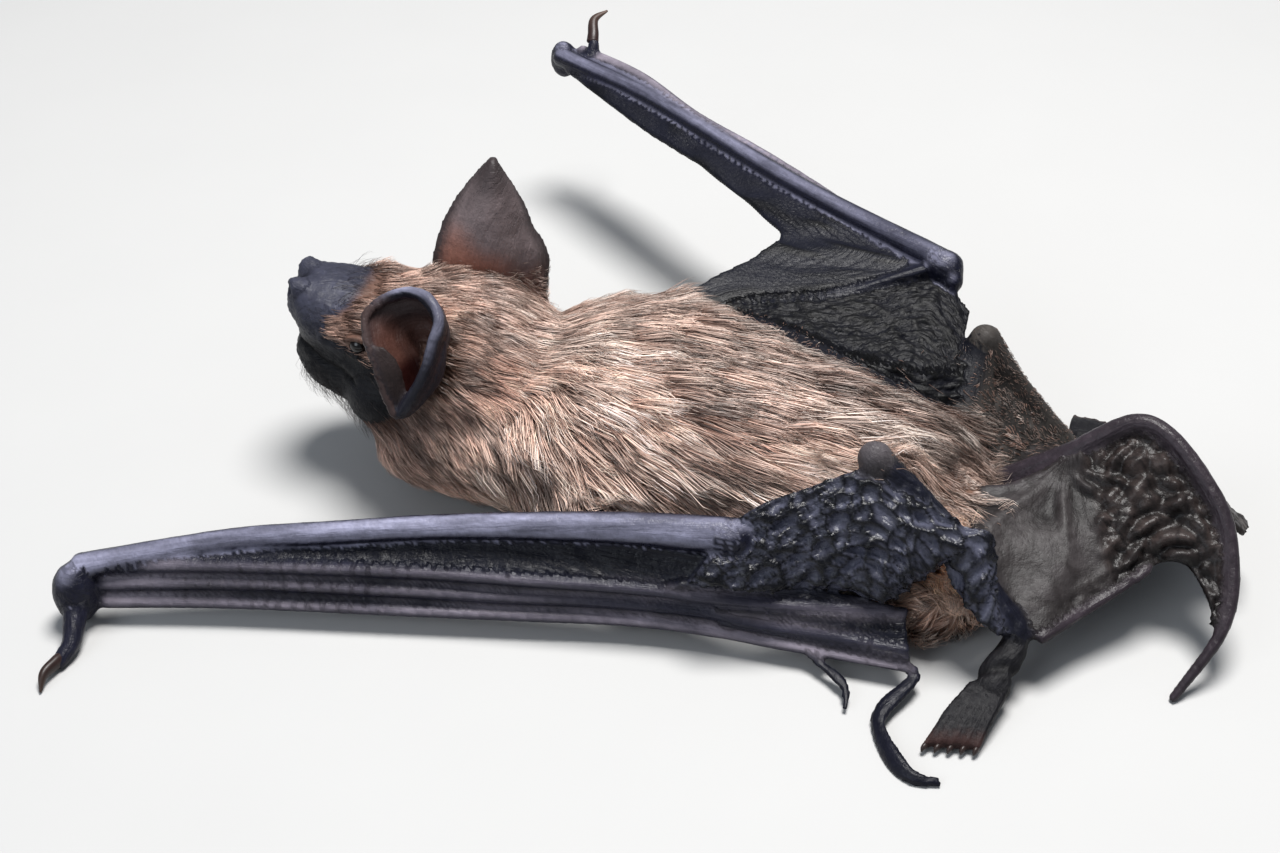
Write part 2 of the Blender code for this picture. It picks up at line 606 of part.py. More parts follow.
def build_legs(bat, hide):
    shin = limb((KNEE_LEFT, (11.2, 26.6, 11.4), (13.4, 31.0, 7.6), ANKLE_LEFT), (1.5, 1.0, 0.85, 1.0), 7, 7)
    bat.add("shin_left", shin, hide)
    shin = limb((KNEE_RIGHT, (-9.2, 31.3, 9.4), ANKLE_RIGHT), (1.3, 0.9, 0.9), 7, 6)
    bat.add("shin_right", shin, hide)
    bat.add("thigh_left", limb((HIP_LEFT, (9.6, 23.0, 12.6)), (2.4, 1.5), 8, 5), hide)
    bat.add("thigh_right", limb((HIP_RIGHT, (-8.8, 27.8, 12.0)), (2.6, 1.5), 8, 5), hide)
    bat.add("foot_left", foot((16.0, 34.4, 3.6), (19.4, 33.0, 2.0), TOE_TIPS_LEFT), hide)
    bat.add("foot_right", foot((-10.8, 37.0, 2.4), (-13.2, 37.6, 1.6), TOE_TIPS_RIGHT), hide)
    for name in ("foot_left", "foot_right"):
        bat.keep_clear(name)


def build_hands(bat, paint):
    hide = paint["dark_skin"]
    for name, path in {**FINGERS_LEFT, **FINGERS_RIGHT}.items():
        radii = np.interp(np.linspace(0, 1, len(path)), (0, 0.1, 0.6, 1), FINGER_RADII)
        bat.add(name, limb(path, radii, 6, 9), hide)
    radii = (0.55, 0.6, 0.62, 0.62, 0.6, 0.52, 0.34)
    bat.add("finger_3_tip_left", limb(FINGER_3_FOLD_LEFT, radii, 6, 9, flatness=0.8), hide)
    bat.add("finger_2_tip_left", limb(FINGER_2_TIP_LEFT, (0.35, 0.42, 0.36, 0.3), 6, 6), hide)
    bat.add("thumb_left", limb(THUMB_LEFT, (1.0, 0.75, 0.6), 6, 5), hide)
    bat.add("thumb_claw_left", limb(THUMB_CLAW_LEFT, (0.5, 0.42, 0.24), 6, 4), paint["claw_horn"])
    bat.add("thumb_right", limb(THUMB_RIGHT, (0.85, 0.65, 0.5), 7, 5, up=(0, 1, 0)), hide)
    claw = limb(THUMB_CLAW_RIGHT, (0.5, 0.45, 0.2), 6, 6, up=(0, 1, 0))
    bat.add("thumb_claw_right", claw, paint["claw_horn"])


def build_tail(bat, hide):
    bat.add("tail", limb(TAIL, (1.3, 0.95, 0.8, 0.75, 0.65, 0.55, 0.4), 6, 14), hide)
    bat.add("calcar_left", limb(CALCAR_LEFT, (0.5, 0.42, 0.38, 0.32), 6, 6), hide)
    bat.add("calcar_right", limb(CALCAR_RIGHT, (0.5, 0.42, 0.34), 6, 5), hide)


def build_membranes(bat, skin, tail_skin):
    finger = FINGERS_LEFT["finger_5_left"]
    tail_root = TAIL[:4]
    sheets = (
        # name, edges, columns, rows, bulge, material
        ("plagiopatagium_left", PLAGIO_LEFT_UPPER, PLAGIO_LEFT_LOWER, 15, 4, (0.8, 0.2, 0.6), skin),
        ("wing_web_left", FOREARM_LEFT[-2::-1], finger[1:6], 11, 3, (-1.0, 0, 0), skin),
        ("fifth_web_left", FIFTH_WEB_UPPER, finger[4:], 8, 3, (0, 0, 0), skin),
        ("dactylopatagium_left", finger[5:], HAND_WEB_LOWER, 8, 3, (0, 0, 0), skin),
        ("plagiopatagium_right", ARM_WEB_RIGHT, FLANK_RIGHT, 8, 4, (0.3, 0, -0.5), skin),
        ("propatagium_right", PROPATAGIUM_RIGHT_ARM, PROPATAGIUM_RIGHT_EDGE, 12, 3, (0, 0, 0), skin),
        ("leg_web_right", LEG_WEB_RIGHT_TAIL, LEG_WEB_RIGHT_SHIN, 6, 3, (0, 0, 0), skin),
        ("tail_membrane_left", TAIL_WEB_LEG, TAIL_WEB_RIDGE, 11, 4, (0.3, 0, 0.5), tail_skin),
        ("tail_membrane_right", tail_root, TAIL_WEB_RIGHT_EDGE, 9, 4, (0, 0, -0.6), tail_skin),
    )
    for name, first, second, columns, rows, bulge, finish in sheets:
        bat.add(name, web(first, second, columns, rows, bulge), finish, SKIN)


def build():
    for thing in list(bpy.data.objects):
        bpy.data.objects.remove(thing, do_unlink=True)
    paint = {name: material(name, colour, roughness) for name, (colour, roughness) in PAINTS.items()}
    bat = Bat()
    build_head(bat, paint)
    build_trunk(bat, paint)
    build_arms(bat, paint["dark_skin"])
    build_legs(bat, paint["dark_skin"])
    build_hands(bat, paint)
    build_tail(bat, paint["dark_skin"])
    build_membranes(bat, paint["flight_membrane"], paint["tail_membrane"])
    for thing, _ in bat.made:
        thing.data.shade_flat()


if __name__ == "__main__":
    build()
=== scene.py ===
"""A brown bat at life size, lying on its belly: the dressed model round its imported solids.

One skin takes the place of all the flesh: its forms are swept and spread from the same tables as
the solids, lie inside them by the depth of the coat, and are fused, creased and painted here.
Eyes and claws stay separate. The coat is solid tufts, rooted in the skin and combed by GROOM.
Tables and working sizes are in millimetres, and meshes are written in metres.
"""

import math

import bpy
import numpy as np
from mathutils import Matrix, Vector
from mathutils.bvhtree import BVHTree
from mathutils.kdtree import KDTree


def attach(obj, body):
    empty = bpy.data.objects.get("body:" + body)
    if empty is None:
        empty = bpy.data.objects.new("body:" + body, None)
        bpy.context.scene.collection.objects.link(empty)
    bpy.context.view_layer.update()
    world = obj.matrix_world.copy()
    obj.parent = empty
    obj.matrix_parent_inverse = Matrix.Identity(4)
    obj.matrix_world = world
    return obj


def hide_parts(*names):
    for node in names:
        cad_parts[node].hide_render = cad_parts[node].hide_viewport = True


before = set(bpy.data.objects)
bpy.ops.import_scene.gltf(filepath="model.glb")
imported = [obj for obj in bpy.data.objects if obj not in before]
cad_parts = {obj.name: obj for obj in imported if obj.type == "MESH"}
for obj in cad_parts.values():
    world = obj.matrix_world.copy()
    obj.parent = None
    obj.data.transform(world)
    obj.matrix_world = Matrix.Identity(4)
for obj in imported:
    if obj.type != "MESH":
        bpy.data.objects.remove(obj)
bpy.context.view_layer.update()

MM = 0.001
SEED = 20
VOXEL = 0.24  # grain of the fused skin, mm
SHEET = 0.5  # thickness of the flight membranes, mm
FAR_EAR_GRID = (30, 36)  # rows from front to back, columns from base to tip
TUFTS = 86000  # tufts of the body coat
MUZZLE_HAIRS = 1100  # short dark hairs of the naked face
FOLD_HAIRS = 1500  # tan hairs of the fold above each eye
COAT_DEPTH = 1.35  # the skin lies this far inside the coat's outer face, mm
SKIN_FLOOR = 0.02  # no skin lies lower than this, mm
COAT_FLOOR = 0.12  # and the middle line of no tuft of the body lower than this, mm

# ---------------------------------------------------------------------------------------------
# The bat's measurements

SKULL = (0.4, -14.4, 11.2)
HEAD_PITCH = math.radians(13.0)  # nose up
HEAD_YAW = math.radians(4.0)  # nose towards the bat's left

ELBOW_LEFT = (16.0, 12.6, 9.3)
WRIST_LEFT = (27.4, -36.0, 5.0)
KNEE_LEFT = (10.4, 22.1, 14.4)
ANKLE_LEFT = (15.6, 34.6, 4.0)
ELBOW_RIGHT = (-16.4, 23.6, 15.4)
WRIST_RIGHT = (-45.2, -19.2, 16.0)
KNEE_RIGHT = (-9.2, 28.2, 13.3)
ANKLE_RIGHT = (-10.2, 36.6, 2.8)

FOREARM_LEFT = (
    ELBOW_LEFT, (16.9, 3.0, 8.8), (18.7, -9.0, 7.7), (20.9, -18.0, 6.9), (22.9, -25.5, 6.2), WRIST_LEFT,
)
FOREARM_RIGHT = (ELBOW_RIGHT, (-25.2, 9.2, 16.0), (-37.9, -7.2, 16.0), WRIST_RIGHT)

# Spine of the tail: root, tent peak, bend, arc and free tip.
TAIL = (
    (0.3, 29.5, 4.6), (0.1, 35.9, 9.6), (-1.1, 41.7, 13.0), (3.0, 47.2, 10.2), (6.9, 49.2, 7.0),
    (11.0, 49.1, 4.0), (15.3, 46.3, 0.3),
)

# Fingers, each from the wrist to its last joint.
FINGER_5_LEFT = (
    (26.8, -34.6, 4.7), (24.6, -25.0, 5.0), (21.8, -12.0, 5.0), (20.0, -0.6, 5.0),
    (18.9, 7.0, 5.0), (18.5, 12.1, 4.9), (17.4, 18.4, 4.7), (15.8, 26.0, 4.6),
)
FINGER_4_LEFT = (
    (27.3, -34.6, 3.3), (25.0, -25.0, 3.6), (22.3, -11.9, 3.5), (20.9, -4.3, 3.4),
    (19.5, 3.3, 3.5), (18.6, 11.1, 3.6), (18.7, 14.5, 3.2), (18.3, 18.6, 3.0), (18.1, 26.6, 2.9),
)
FINGER_3_LEFT = (
    (27.7, -34.4, 1.9), (25.5, -24.9, 2.0), (22.9, -11.9, 2.0), (21.0, -2.4, 2.0),
    (19.5, 5.1, 2.0), (18.9, 10.9, 1.9), (18.7, 17.9, 1.7), (18.6, 27.4, 1.6),
)
FINGER_3_FOLD_LEFT = (
    (18.9, 27.6, 1.4), (20.2, 27.0, 1.2), (22.5, 25.7, 0.8), (24.3, 25.7, 0.55), (26.8, 27.1, 0.5),
    (28.2, 28.7, 0.45), (28.1, 30.6, 0.3),
)
FINGER_2_TIP_LEFT = (
    (18.8, 19.6, 1.5), (19.4, 20.4, 1.2), (20.3, 21.9, 1.0), (21.3, 22.7, 0.8), (22.9, 23.0, 0.5),
)
FINGERS_RIGHT = (
    (
        (-46.6, -17.4, 16.3), (-41.9, -9.9, 16.6), (-35.2, -2.6, 16.5), (-29.6, 5.4, 16.3),
        (-24.0, 14.0, 15.2), (-20.6, 19.4, 13.2), (-18.0, 22.4, 9.0), (-16.0, 24.4, 4.6),
    ),
    (
        (-46.8, -17.0, 15.0), (-42.1, -9.5, 15.3), (-35.4, -2.2, 15.2), (-29.8, 5.8, 15.0),
        (-24.3, 14.2, 13.8), (-20.6, 19.0, 11.4), (-17.6, 21.0, 7.4), (-15.4, 22.0, 3.4),
    ),
    (
        (-46.8, -16.8, 13.7), (-42.1, -9.3, 14.0), (-35.4, -2.0, 13.9), (-29.8, 6.0, 13.7),
        (-24.0, 13.8, 12.4), (-20.0, 17.4, 9.8), (-16.8, 18.6, 6.0),
    ),
)

# Edges of the flight and tail membranes.
PLAGIO_LEFT_UPPER = (
    (15.6, 12.6, 10.4), (14.3, 14.5, 11.3), (13.2, 16.7, 12.0), (12.0, 18.8, 12.6), (11.2, 20.6, 13.2),
    (10.9, 22.4, 13.6), (11.2, 24.1, 13.0), (11.7, 26.0, 12.1), (12.4, 28.1, 11.4), (12.8, 29.5, 11.0),
    (12.5, 31.0, 10.6), (13.2, 31.5, 9.2), (14.1, 32.0, 7.6), (15.2, 32.6, 6.0), (16.2, 33.6, 4.6),
)
PLAGIO_LEFT_LOWER = (
    (18.6, 10.1, 6.4), (17.8, 13.6, 6.1), (17.2, 15.4, 5.9), (16.4, 17.8, 5.9), (15.7, 20.9, 5.9),
    (15.9, 22.6, 5.8), (16.0, 24.2, 5.7), (15.2, 25.2, 6.2), (14.4, 26.2, 7.0), (13.8, 27.3, 8.0),
    (13.6, 28.4, 8.8), (14.0, 28.9, 7.9), (14.6, 29.8, 6.7), (15.3, 31.0, 5.6), (16.0, 32.2, 4.7),
)
FIFTH_WEB_UPPER = (
    (18.6, 9.4, 6.2), (17.4, 14.4, 5.6), (16.3, 18.4, 5.5), (15.8, 22.0, 5.3), (15.9, 25.2, 5.0),
)
HAND_WEB_LOWER = ((18.8, 12.5, 2.8), (18.5, 18.0, 2.4), (18.6, 27.0, 2.2))
ARM_WEB_RIGHT = (
    (-10.4, 6.0, 12.6), (-12.0, 13.6, 13.4), (-13.6, 18.6, 13.8), (-16.0, 23.4, 14.4), (-13.0, 26.4, 13.0),
)
FLANK_RIGHT = (
    (-8.6, 5.4, 12.2), (-7.8, 10.4, 12.8), (-5.6, 15.2, 12.9), (-4.4, 19.6, 12.6), (-4.6, 23.4, 12.0),
    (-6.2, 26.6, 11.6),
)
PROPATAGIUM_RIGHT_ARM = (
    (-44.2, -18.6, 16.0), (-37.9, -7.2, 15.8), (-25.2, 9.2, 15.8), (-17.4, 22.2, 15.4), (-14.0, 19.6, 14.2),
    (-11.0, 8.0, 12.9), (-8.4, 5.0, 12.4),
)
PROPATAGIUM_RIGHT_EDGE = (
    (-44.0, -18.4, 15.0), (-35.8, -9.3, 14.8), (-30.2, -2.3, 14.8), (-25.0, 3.3, 14.8), (-21.5, 6.6, 14.8),
    (-19.0, 8.9, 14.7), (-16.8, 8.6, 14.6), (-14.7, 7.1, 14.2), (-12.8, 5.2, 13.8), (-10.7, 3.4, 13.2),
    (-8.0, 1.8, 12.4),
)
LEG_WEB_RIGHT_TAIL = ((-8.9, 28.6, 12.2), (-6.0, 28.9, 9.9), (-2.6, 29.6, 8.0), (-0.6, 31.0, 6.4))
LEG_WEB_RIGHT_SHIN = ((-9.0, 30.0, 11.6), (-9.1, 31.6, 9.0), (-9.4, 34.2, 6.0), (-9.4, 36.2, 3.8))
TAIL_WEB_LEG = (
    (10.6, 30.8, 8.8), (12.8, 31.8, 7.0), (15.2, 33.8, 4.8), (15.6, 36.4, 4.3), (12.4, 38.8, 4.7),
    (10.3, 40.9, 5.3), (7.6, 43.5, 6.2), (7.4, 45.8, 6.6), (9.1, 47.4, 5.4), (11.2, 48.3, 4.4),
)
TAIL_WEB_RIDGE = (
    (6.4, 28.0, 8.4), (4.6, 30.0, 8.5), (3.9, 32.1, 8.8), (2.4, 34.1, 9.2), (0.8, 36.2, 9.9),
    (-0.4, 38.5, 11.2), (-0.6, 41.6, 12.6), (2.6, 46.6, 10.2), (6.2, 48.6, 7.4), (10.4, 48.8, 4.6),
)
TENT_PEAK = TAIL_WEB_RIDGE[4]
TAIL_WEB_ROOT = ((2.6, 27.4, 5.6), (0.6, 30.6, 5.6), (0.2, 33.2, 7.4), (0.1, 35.7, 9.3))
TAIL_WEB_RIGHT_EDGE = (
    (-5.2, 29.0, 8.2), (-8.6, 32.4, 6.0), (-9.8, 36.4, 3.4), (-8.6, 40.6, 3.4), (-6.2, 45.0, 4.0),
    (-2.6, 48.8, 4.6), (-0.9, 50.6, 5.2), (2.6, 50.2, 6.6),
)
CALCAR_LEFT = ((15.7, 36.2, 4.2), (12.6, 38.8, 4.6), (10.5, 40.9, 5.2), (8.0, 43.4, 6.0))
CALCAR_RIGHT = ((-10.2, 38.0, 2.6), (-9.4, 41.0, 2.6), (-7.4, 44.6, 3.2))

EAR_RIGHT_FRONT = (
    (-1.6, -16.6, 13.6), (-2.4, -17.4, 16.4), (-3.0, -17.2, 18.6), (-4.2, -16.6, 20.8), (-5.5, -15.4, 23.0),
    (-6.6, -13.2, 25.6),
)
EAR_RIGHT_BACK = (
    (-5.4, -9.0, 12.2), (-6.8, -8.8, 15.0), (-7.2, -8.9, 17.0), (-6.9, -10.0, 19.6), (-6.7, -11.1, 22.6),
    (-6.6, -13.0, 25.6),
)
EAR_LEFT_RIM = (
    (11.1, -16.2, 11.4), (10.9, -16.9, 13.2), (10.3, -17.7, 15.3), (9.2, -18.8, 17.2), (7.8, -19.2, 18.6),
    (6.5, -17.9, 19.5), (6.0, -15.8, 20.0), (6.8, -13.7, 19.7), (7.9, -12.8, 18.7), (9.0, -13.1, 17.2),
    (10.0, -13.5, 15.3), (10.6, -14.5, 13.2), (11.0, -15.6, 11.4),
)
EAR_LEFT_MIDDLE = np.mean(EAR_LEFT_RIM, axis=0)
EAR_LEFT_BOTTOM = (6.2, -14.6, 14.4)
TRAGUS_LEFT = ((10.4, -15.9, 11.7), (10.3, -16.3, 13.4), (9.9, -16.9, 15.3), (9.4, -17.5, 16.8))
TRAGUS_RIGHT = ((-5.0, -14.4, 12.4), (-6.4, -15.4, 15.0), (-7.4, -15.8, 17.0), (-8.0, -15.8, 18.6))

# Head sections: ahead of SKULL, half width, top and underside.
SKULL_SECTIONS = (
    (-6.8, 6.2, 4.4, -6.0), (-4.0, 7.9, 5.8, -7.4), (-0.5, 8.4, 6.2, -8.0), (3.0, 7.9, 5.6, -7.8),
    (6.0, 6.6, 4.5, -7.0), (8.2, 5.4, 3.8, -6.4),
)
MUZZLE_SECTIONS = (
    (5.6, 4.9, 3.5, -3.6), (7.6, 4.7, 3.5, -3.4), (10.0, 4.6, 3.7, -2.6), (11.8, 4.3, 3.6, -2.3),
    (13.1, 3.7, 3.2, -2.0), (13.8, 2.8, 2.5, -1.5),
)
JAW_SECTIONS = (
    (5.6, 5.0, -2.6, -6.3), (7.6, 4.9, -2.6, -6.2), (9.6, 4.4, -2.6, -6.0), (11.4, 3.7, -2.6, -5.6),
    (12.8, 2.4, -2.6, -4.6),
)
# Trunk sections: along, across, half width, top and underside.
TRUNK_SECTIONS = (
    (-7.5, 0.4, 10.6, 12.8, -0.5), (-4.0, 0.2, 12.0, 14.4, -0.6), (0.0, 0.0, 12.8, 15.4, -0.6),
    (8.0, 0.0, 13.0, 15.8, -0.6), (16.0, 0.9, 12.2, 14.8, -0.6), (22.0, 2.0, 11.0, 13.2, -0.5),
    (26.5, 2.4, 9.4, 11.4, -0.4), (28.4, 2.0, 7.6, 10.0, 0.4),
)
NECK = ((1.9, -17.0, 5.2), (1.0, -10.0, 5.6), (0.5, -4.0, 7.0))
THUMB_LEFT = ((28.6, -36.0, 2.6), (29.4, -35.9, 2.2), (31.8, -35.2, 1.1), (33.6, -35.4, 0.55))
THUMB_CLAW_LEFT = ((33.2, -35.4, 0.62), (33.9, -35.5, 0.75), (35.2, -35.7, 0.75), (36.4, -35.4, 0.2))
THUMB_RIGHT = ((-45.2, -17.6, 15.4), (-45.2, -16.6, 15.9), (-45.8, -16.0, 17.0), (-46.6, -16.2, 17.8))
THUMB_CLAW_RIGHT = ((-46.3, -16.2, 17.6), (-46.9, -16.3, 18.1), (-48.4, -16.6, 19.0), (-49.7, -15.6, 19.5))
# Feet: the ankle, the sole, and the tips of the first and the last toe.
FOOT_LEFT = ((16.0, 34.4, 3.6), (19.4, 33.0, 2.0), (25.0, 29.2, 0.2), (24.4, 32.8, 0.2))
FOOT_RIGHT = ((-10.8, 37.0, 2.4), (-13.2, 37.6, 1.6), (-17.6, 36.6, 0.2), (-17.2, 40.0, 0.2))
FEET = (("left", FOOT_LEFT), ("right", FOOT_RIGHT))


def head_place(forward, leftward, upward):
    """A place on the head, from its distance ahead of, left of and above SKULL."""
    level = math.cos(HEAD_PITCH)
    ahead = np.array((math.sin(HEAD_YAW) * level, -math.cos(HEAD_YAW) * level, math.sin(HEAD_PITCH)))
    left = np.array((math.cos(HEAD_YAW), math.sin(HEAD_YAW), 0.0))
    return np.array(SKULL) + ahead * forward + left * leftward + np.cross(ahead, left) * upward


def head_coordinates(points):
    """How far points lie ahead of, left of and above SKULL."""
    origin = head_place(0, 0, 0)
    axes = np.stack([head_place(*row) - origin for row in np.eye(3)])
    return (points - origin) @ axes.T


# ---------------------------------------------------------------------------------------------
# Noise and cells


def scramble(cells, seed):
    """A steady random number from 0 to 1 for each whole-numbered cell."""
    x, y, z = (cells[..., k].astype(np.int64) for k in range(3))
    mixed = (x * 73856093) ^ (y * 19349663) ^ (z * 83492791) ^ (seed * 26544357)
    mixed = ((mixed ^ (mixed >> 13)) * 1274126177) & 0x7FFFFFFF
    mixed = ((mixed ^ (mixed >> 15)) * 668265263) & 0x7FFFFFFF
    return (mixed ^ (mixed >> 11)) / 0x7FFFFFFF


def noise(points, size, seed=0):
    """Smooth noise from -1 to 1, in lumps about size across."""
    scaled = np.asarray(points) / size
    base = np.floor(scaled).astype(np.int64)
    share = scaled - base
    share = share * share * (3 - 2 * share)
    total = np.zeros(len(scaled))
    for corner in range(8):
        step = np.array([(corner >> k) & 1 for k in range(3)])
        total += np.prod(np.where(step, share, 1 - share), axis=1) * scramble(base + step, seed)
    return total * 2 - 1


def crumple(points, size, seed=0, layers=3):
    """Noise with finer noise on it."""
    strengths = [0.5**k for k in range(layers)]
    total = sum(noise(points, size * f, seed + 7 * k) * f for k, f in enumerate(strengths))
    return total / sum(strengths)


def pebbles(points, size, seed=0):
    """Each point's depth inside its own irregular cell, from 0 at the border, and the cell's number."""
    scaled = np.asarray(points) / size
    base = np.floor(scaled).astype(np.int64)
    nearest = np.full(len(scaled), 9.0)
    second = np.full(len(scaled), 9.0)
    number = np.zeros(len(scaled))
    for step in np.stack(np.meshgrid(*[(-1, 0, 1)] * 3, indexing="ij"), -1).reshape(-1, 3):
        cell = base + step
        seat = cell + np.stack([scramble(cell, seed + k) for k in (1, 2, 3)], axis=1)
        reach = np.linalg.norm(seat - scaled, axis=1)
        closer = reach < nearest
        second = np.where(closer, nearest, np.minimum(second, reach))
        number = np.where(closer, scramble(cell, seed + 4), number)
        nearest = np.minimum(nearest, reach)
    return second - nearest, number


def fade(value, low, high):
    """0 below low, 1 above high, and smooth between them. low may be the larger."""
    share = np.clip((value - low) / (high - low), 0, 1)
    return share * share * (3 - 2 * share)


def blob(points, centre, radius):
    """1 at a centre, falling smoothly to nothing beyond a radius."""
    away = np.linalg.norm((points - np.array(centre)) / radius, axis=-1)
    return np.exp(-(away**2) * 1.8)


def from_line(points, line):
    """Distance of points from a broken line."""
    line = np.asarray(line, float)
    best = np.full(len(points), 1e9)
    for start, end in zip(line[:-1], line[1:]):
        run = end - start
        share = np.clip((points - start) @ run / (run @ run), 0, 1)
        best = np.minimum(best, np.linalg.norm(points - start - share[:, None] * run, axis=1))
    return best


# ---------------------------------------------------------------------------------------------
# Forms: closed shapes, with markers that remember which part of the bat each place belongs to


def smooth_rows(rows, count):
    """Count rows read evenly off the Catmull-Rom curve through the given rows."""
    rows = np.asarray(rows, float)
    if len(rows) == 2:
        return rows[0] + np.linspace(0, 1, count)[:, None] * (rows[1] - rows[0])
    ends = np.vstack([2 * rows[0] - rows[1], rows, 2 * rows[-1] - rows[-2]])
    place = np.linspace(0, len(rows) - 1, count)
    first = np.minimum(place.astype(int), len(rows) - 2)
    t = (place - first)[:, None]
    a, b, c, d = (ends[first + k] for k in range(4))
    return 0.5 * (2 * b + (c - a) * t + (2 * a - 5 * b + 4 * c - d) * t**2 + (3 * b - a - 3 * c + d) * t**3)


def unit(rows):
    return rows / np.maximum(np.linalg.norm(rows, axis=-1, keepdims=True), 1e-9)


def dots(first, second):
    """The dot product of each pair of rows."""
    return np.einsum("ij,ij->i", first, second)


def arc_length(rows):
    steps = np.linalg.norm(np.diff(rows, axis=0), axis=-1)
    return np.concatenate([np.zeros((1, *steps.shape[1:])), np.cumsum(steps, axis=0)])


def between(first_edge, second_edge, rows, columns, bulge):
    """A grid of places from one edge to another, arched between them by bulge."""
    first, second = smooth_rows(first_edge, columns), smooth_rows(second_edge, columns)
    share = np.linspace(0, 1, rows)[:, None, None]
    arch = 4 * share * (1 - share) * np.sin(np.linspace(0, math.pi, columns))[None, :, None] ** 0.5
    return first * (1 - share) + second * share + arch * np.asarray(bulge, float)


def nearest(places, numbers, spots):
    """For each spot, the number of the nearest of the places."""
    tree = KDTree(len(places))
    for place, number in zip(places, numbers):
        tree.insert(place, int(number))
    tree.balance()
    return np.array([tree.find(spot)[1] for spot in spots])


def placed(name, data):
    """A new object in the scene."""
    thing = bpy.data.objects.new(name, data)
    bpy.context.scene.collection.objects.link(thing)
    return thing


class Forms:
    """Gathers the closed shapes that the skin is fused from, and their markers.

    A marker is a place, the way out of the form there, the way along it, how far along and across
    it lies in millimetres and as shares of the whole, and the part of the bat that it belongs to.
    """

    def __init__(self):
        self.points, self.faces, self.markers, self.names = [], [], [], []
        self.count = 0

    def add(self, name, points, faces, places, outward, along, mm, share):
        self.points.append(points)
        self.faces += [tuple(k + self.count for k in face) for face in faces]
        self.count += len(points)
        if name not in self.names:
            self.names.append(name)
        part = np.full((len(places), 1), float(self.names.index(name)))
        self.markers.append(np.hstack([places, outward, along, mm, share, part]))

    def sweep(self, name, path, widths, heights, sides, up=(0, 0, 1), squareness=2.0, dome=0.8):
        """Closed rings along a path, with domed ends. widths and heights are half sizes."""
        path = np.asarray(path, float)
        along = unit(np.gradient(path, axis=0))
        side = unit(np.cross(along, np.asarray(up, float)))
        upper = np.cross(side, along)
        angle = np.linspace(0, 2 * math.pi, sides, endpoint=False)
        power = 2 / squareness
        across = np.sign(np.cos(angle)) * np.abs(np.cos(angle)) ** power
        upward = np.sign(np.sin(angle)) * np.abs(np.sin(angle)) ** power
        turns = [math.radians(turn) for turn in (30, 55, 76)]
        stations = [(0, -math.sin(turn), math.cos(turn)) for turn in reversed(turns)]
        stations += [(k, 0.0, 1.0) for k in range(len(path))]
        stations += [(-1, math.sin(turn), math.cos(turn)) for turn in turns]
        reach = arc_length(path)
        rings, outs, alongs, mm, share = [], [], [], [], []
        for k, beyond, size in stations:
            centre = path[k] + along[k] * beyond * dome * min(widths[k], heights[k])
            spread = np.outer(across * widths[k] * size, side[k])
            spread += np.outer(upward * heights[k] * size, upper[k])
            rings.append(centre + spread)
            outs.append(unit(spread + along[k] * beyond * 0.5))
            alongs.append(np.tile(along[k], (sides, 1)))
            mm.append(np.column_stack([np.full(sides, reach[k]), angle * (widths[k] + heights[k]) / 2]))
            share.append(np.column_stack([np.full(sides, reach[k] / reach[-1]), angle / (2 * math.pi)]))
        points = np.vstack(rings)
        faces = []
        for ring in range(len(rings) - 1):
            for k in range(sides):
                a, b = ring * sides + k, ring * sides + (k + 1) % sides
                faces.append((a, b, b + sides, a + sides))
        faces.append(tuple(range(sides - 1, -1, -1)))
        faces.append(tuple(range((len(rings) - 1) * sides, len(rings) * sides)))
        self.add(name, points, faces, points, *(np.vstack(rows) for rows in (outs, alongs, mm, share)))

    def limb(self, name, joints, radii, sides=20, step=0.7, up=(0, 0, 1), flatness=1.0, dome=0.8):
        """A rounded limb through its joints."""
        joints = np.asarray(joints, float)
        rings = max(5, int(arc_length(joints)[-1] / step))
        radii = np.interp(np.linspace(0, 1, len(joints)), np.linspace(0, 1, len(radii)), radii)
        rows = smooth_rows(np.column_stack([joints, radii]), rings)
        self.sweep(name, rows[:, :3], rows[:, 3], rows[:, 3] * flatness, sides, up, dome=dome)

    def ball(self, name, centre, radii, sides=24):
        """An ellipsoid, upright."""
        turn = np.radians(np.linspace(-84, 84, 15))
        radii = np.asarray(radii, float)
        path = np.asarray(centre, float) + np.column_stack([0 * turn, 0 * turn, np.sin(turn) * radii[2]])
        widths = np.cos(turn)
        self.sweep(name, path, widths * radii[0], widths * radii[1], sides, up=(0, 1, 0), dome=0.1)

    def sheet(self, name, grid, thickness):
        """A closed sheet round a grid of middle points, rows by columns. thickness may vary over it."""
        rows, columns = grid.shape[:2]
        along = unit(np.gradient(grid, axis=1))
        across = unit(np.gradient(grid, axis=0))
        outward = unit(np.cross(along, across))
        half = np.broadcast_to(np.asarray(thickness, float), (rows, columns))[..., None] / 2
        points = np.concatenate([grid + outward * half, grid - outward * half]).reshape(-1, 3)
        under = rows * columns
        cells = [(r * columns + c, r * columns + c + 1) for r in range(rows - 1) for c in range(columns - 1)]
        faces = [(a, b, b + columns, a + columns) for a, b in cells]
        faces += [tuple(k + under for k in reversed(face)) for face in faces]
        border = list(range(columns)) + [r * columns + columns - 1 for r in range(1, rows)]
        border += [(rows - 1) * columns + c for c in range(columns - 2, -1, -1)]
        border += [r * columns for r in range(rows - 2, 0, -1)]
        for a, b in zip(border, border[1:] + border[:1]):
            faces.append((b, a, a + under, b + under))
        mm = np.stack([arc_length(grid.swapaxes(0, 1)).T, arc_length(grid)], axis=-1).reshape(-1, 2)
        u, v = np.meshgrid(np.linspace(0, 1, columns), np.linspace(0, 1, rows))
        share = np.column_stack([u.ravel(), v.ravel()])
        flat = (part.reshape(-1, 3) for part in (grid, outward, along))
        self.add(name, points, faces, *flat, mm, share)

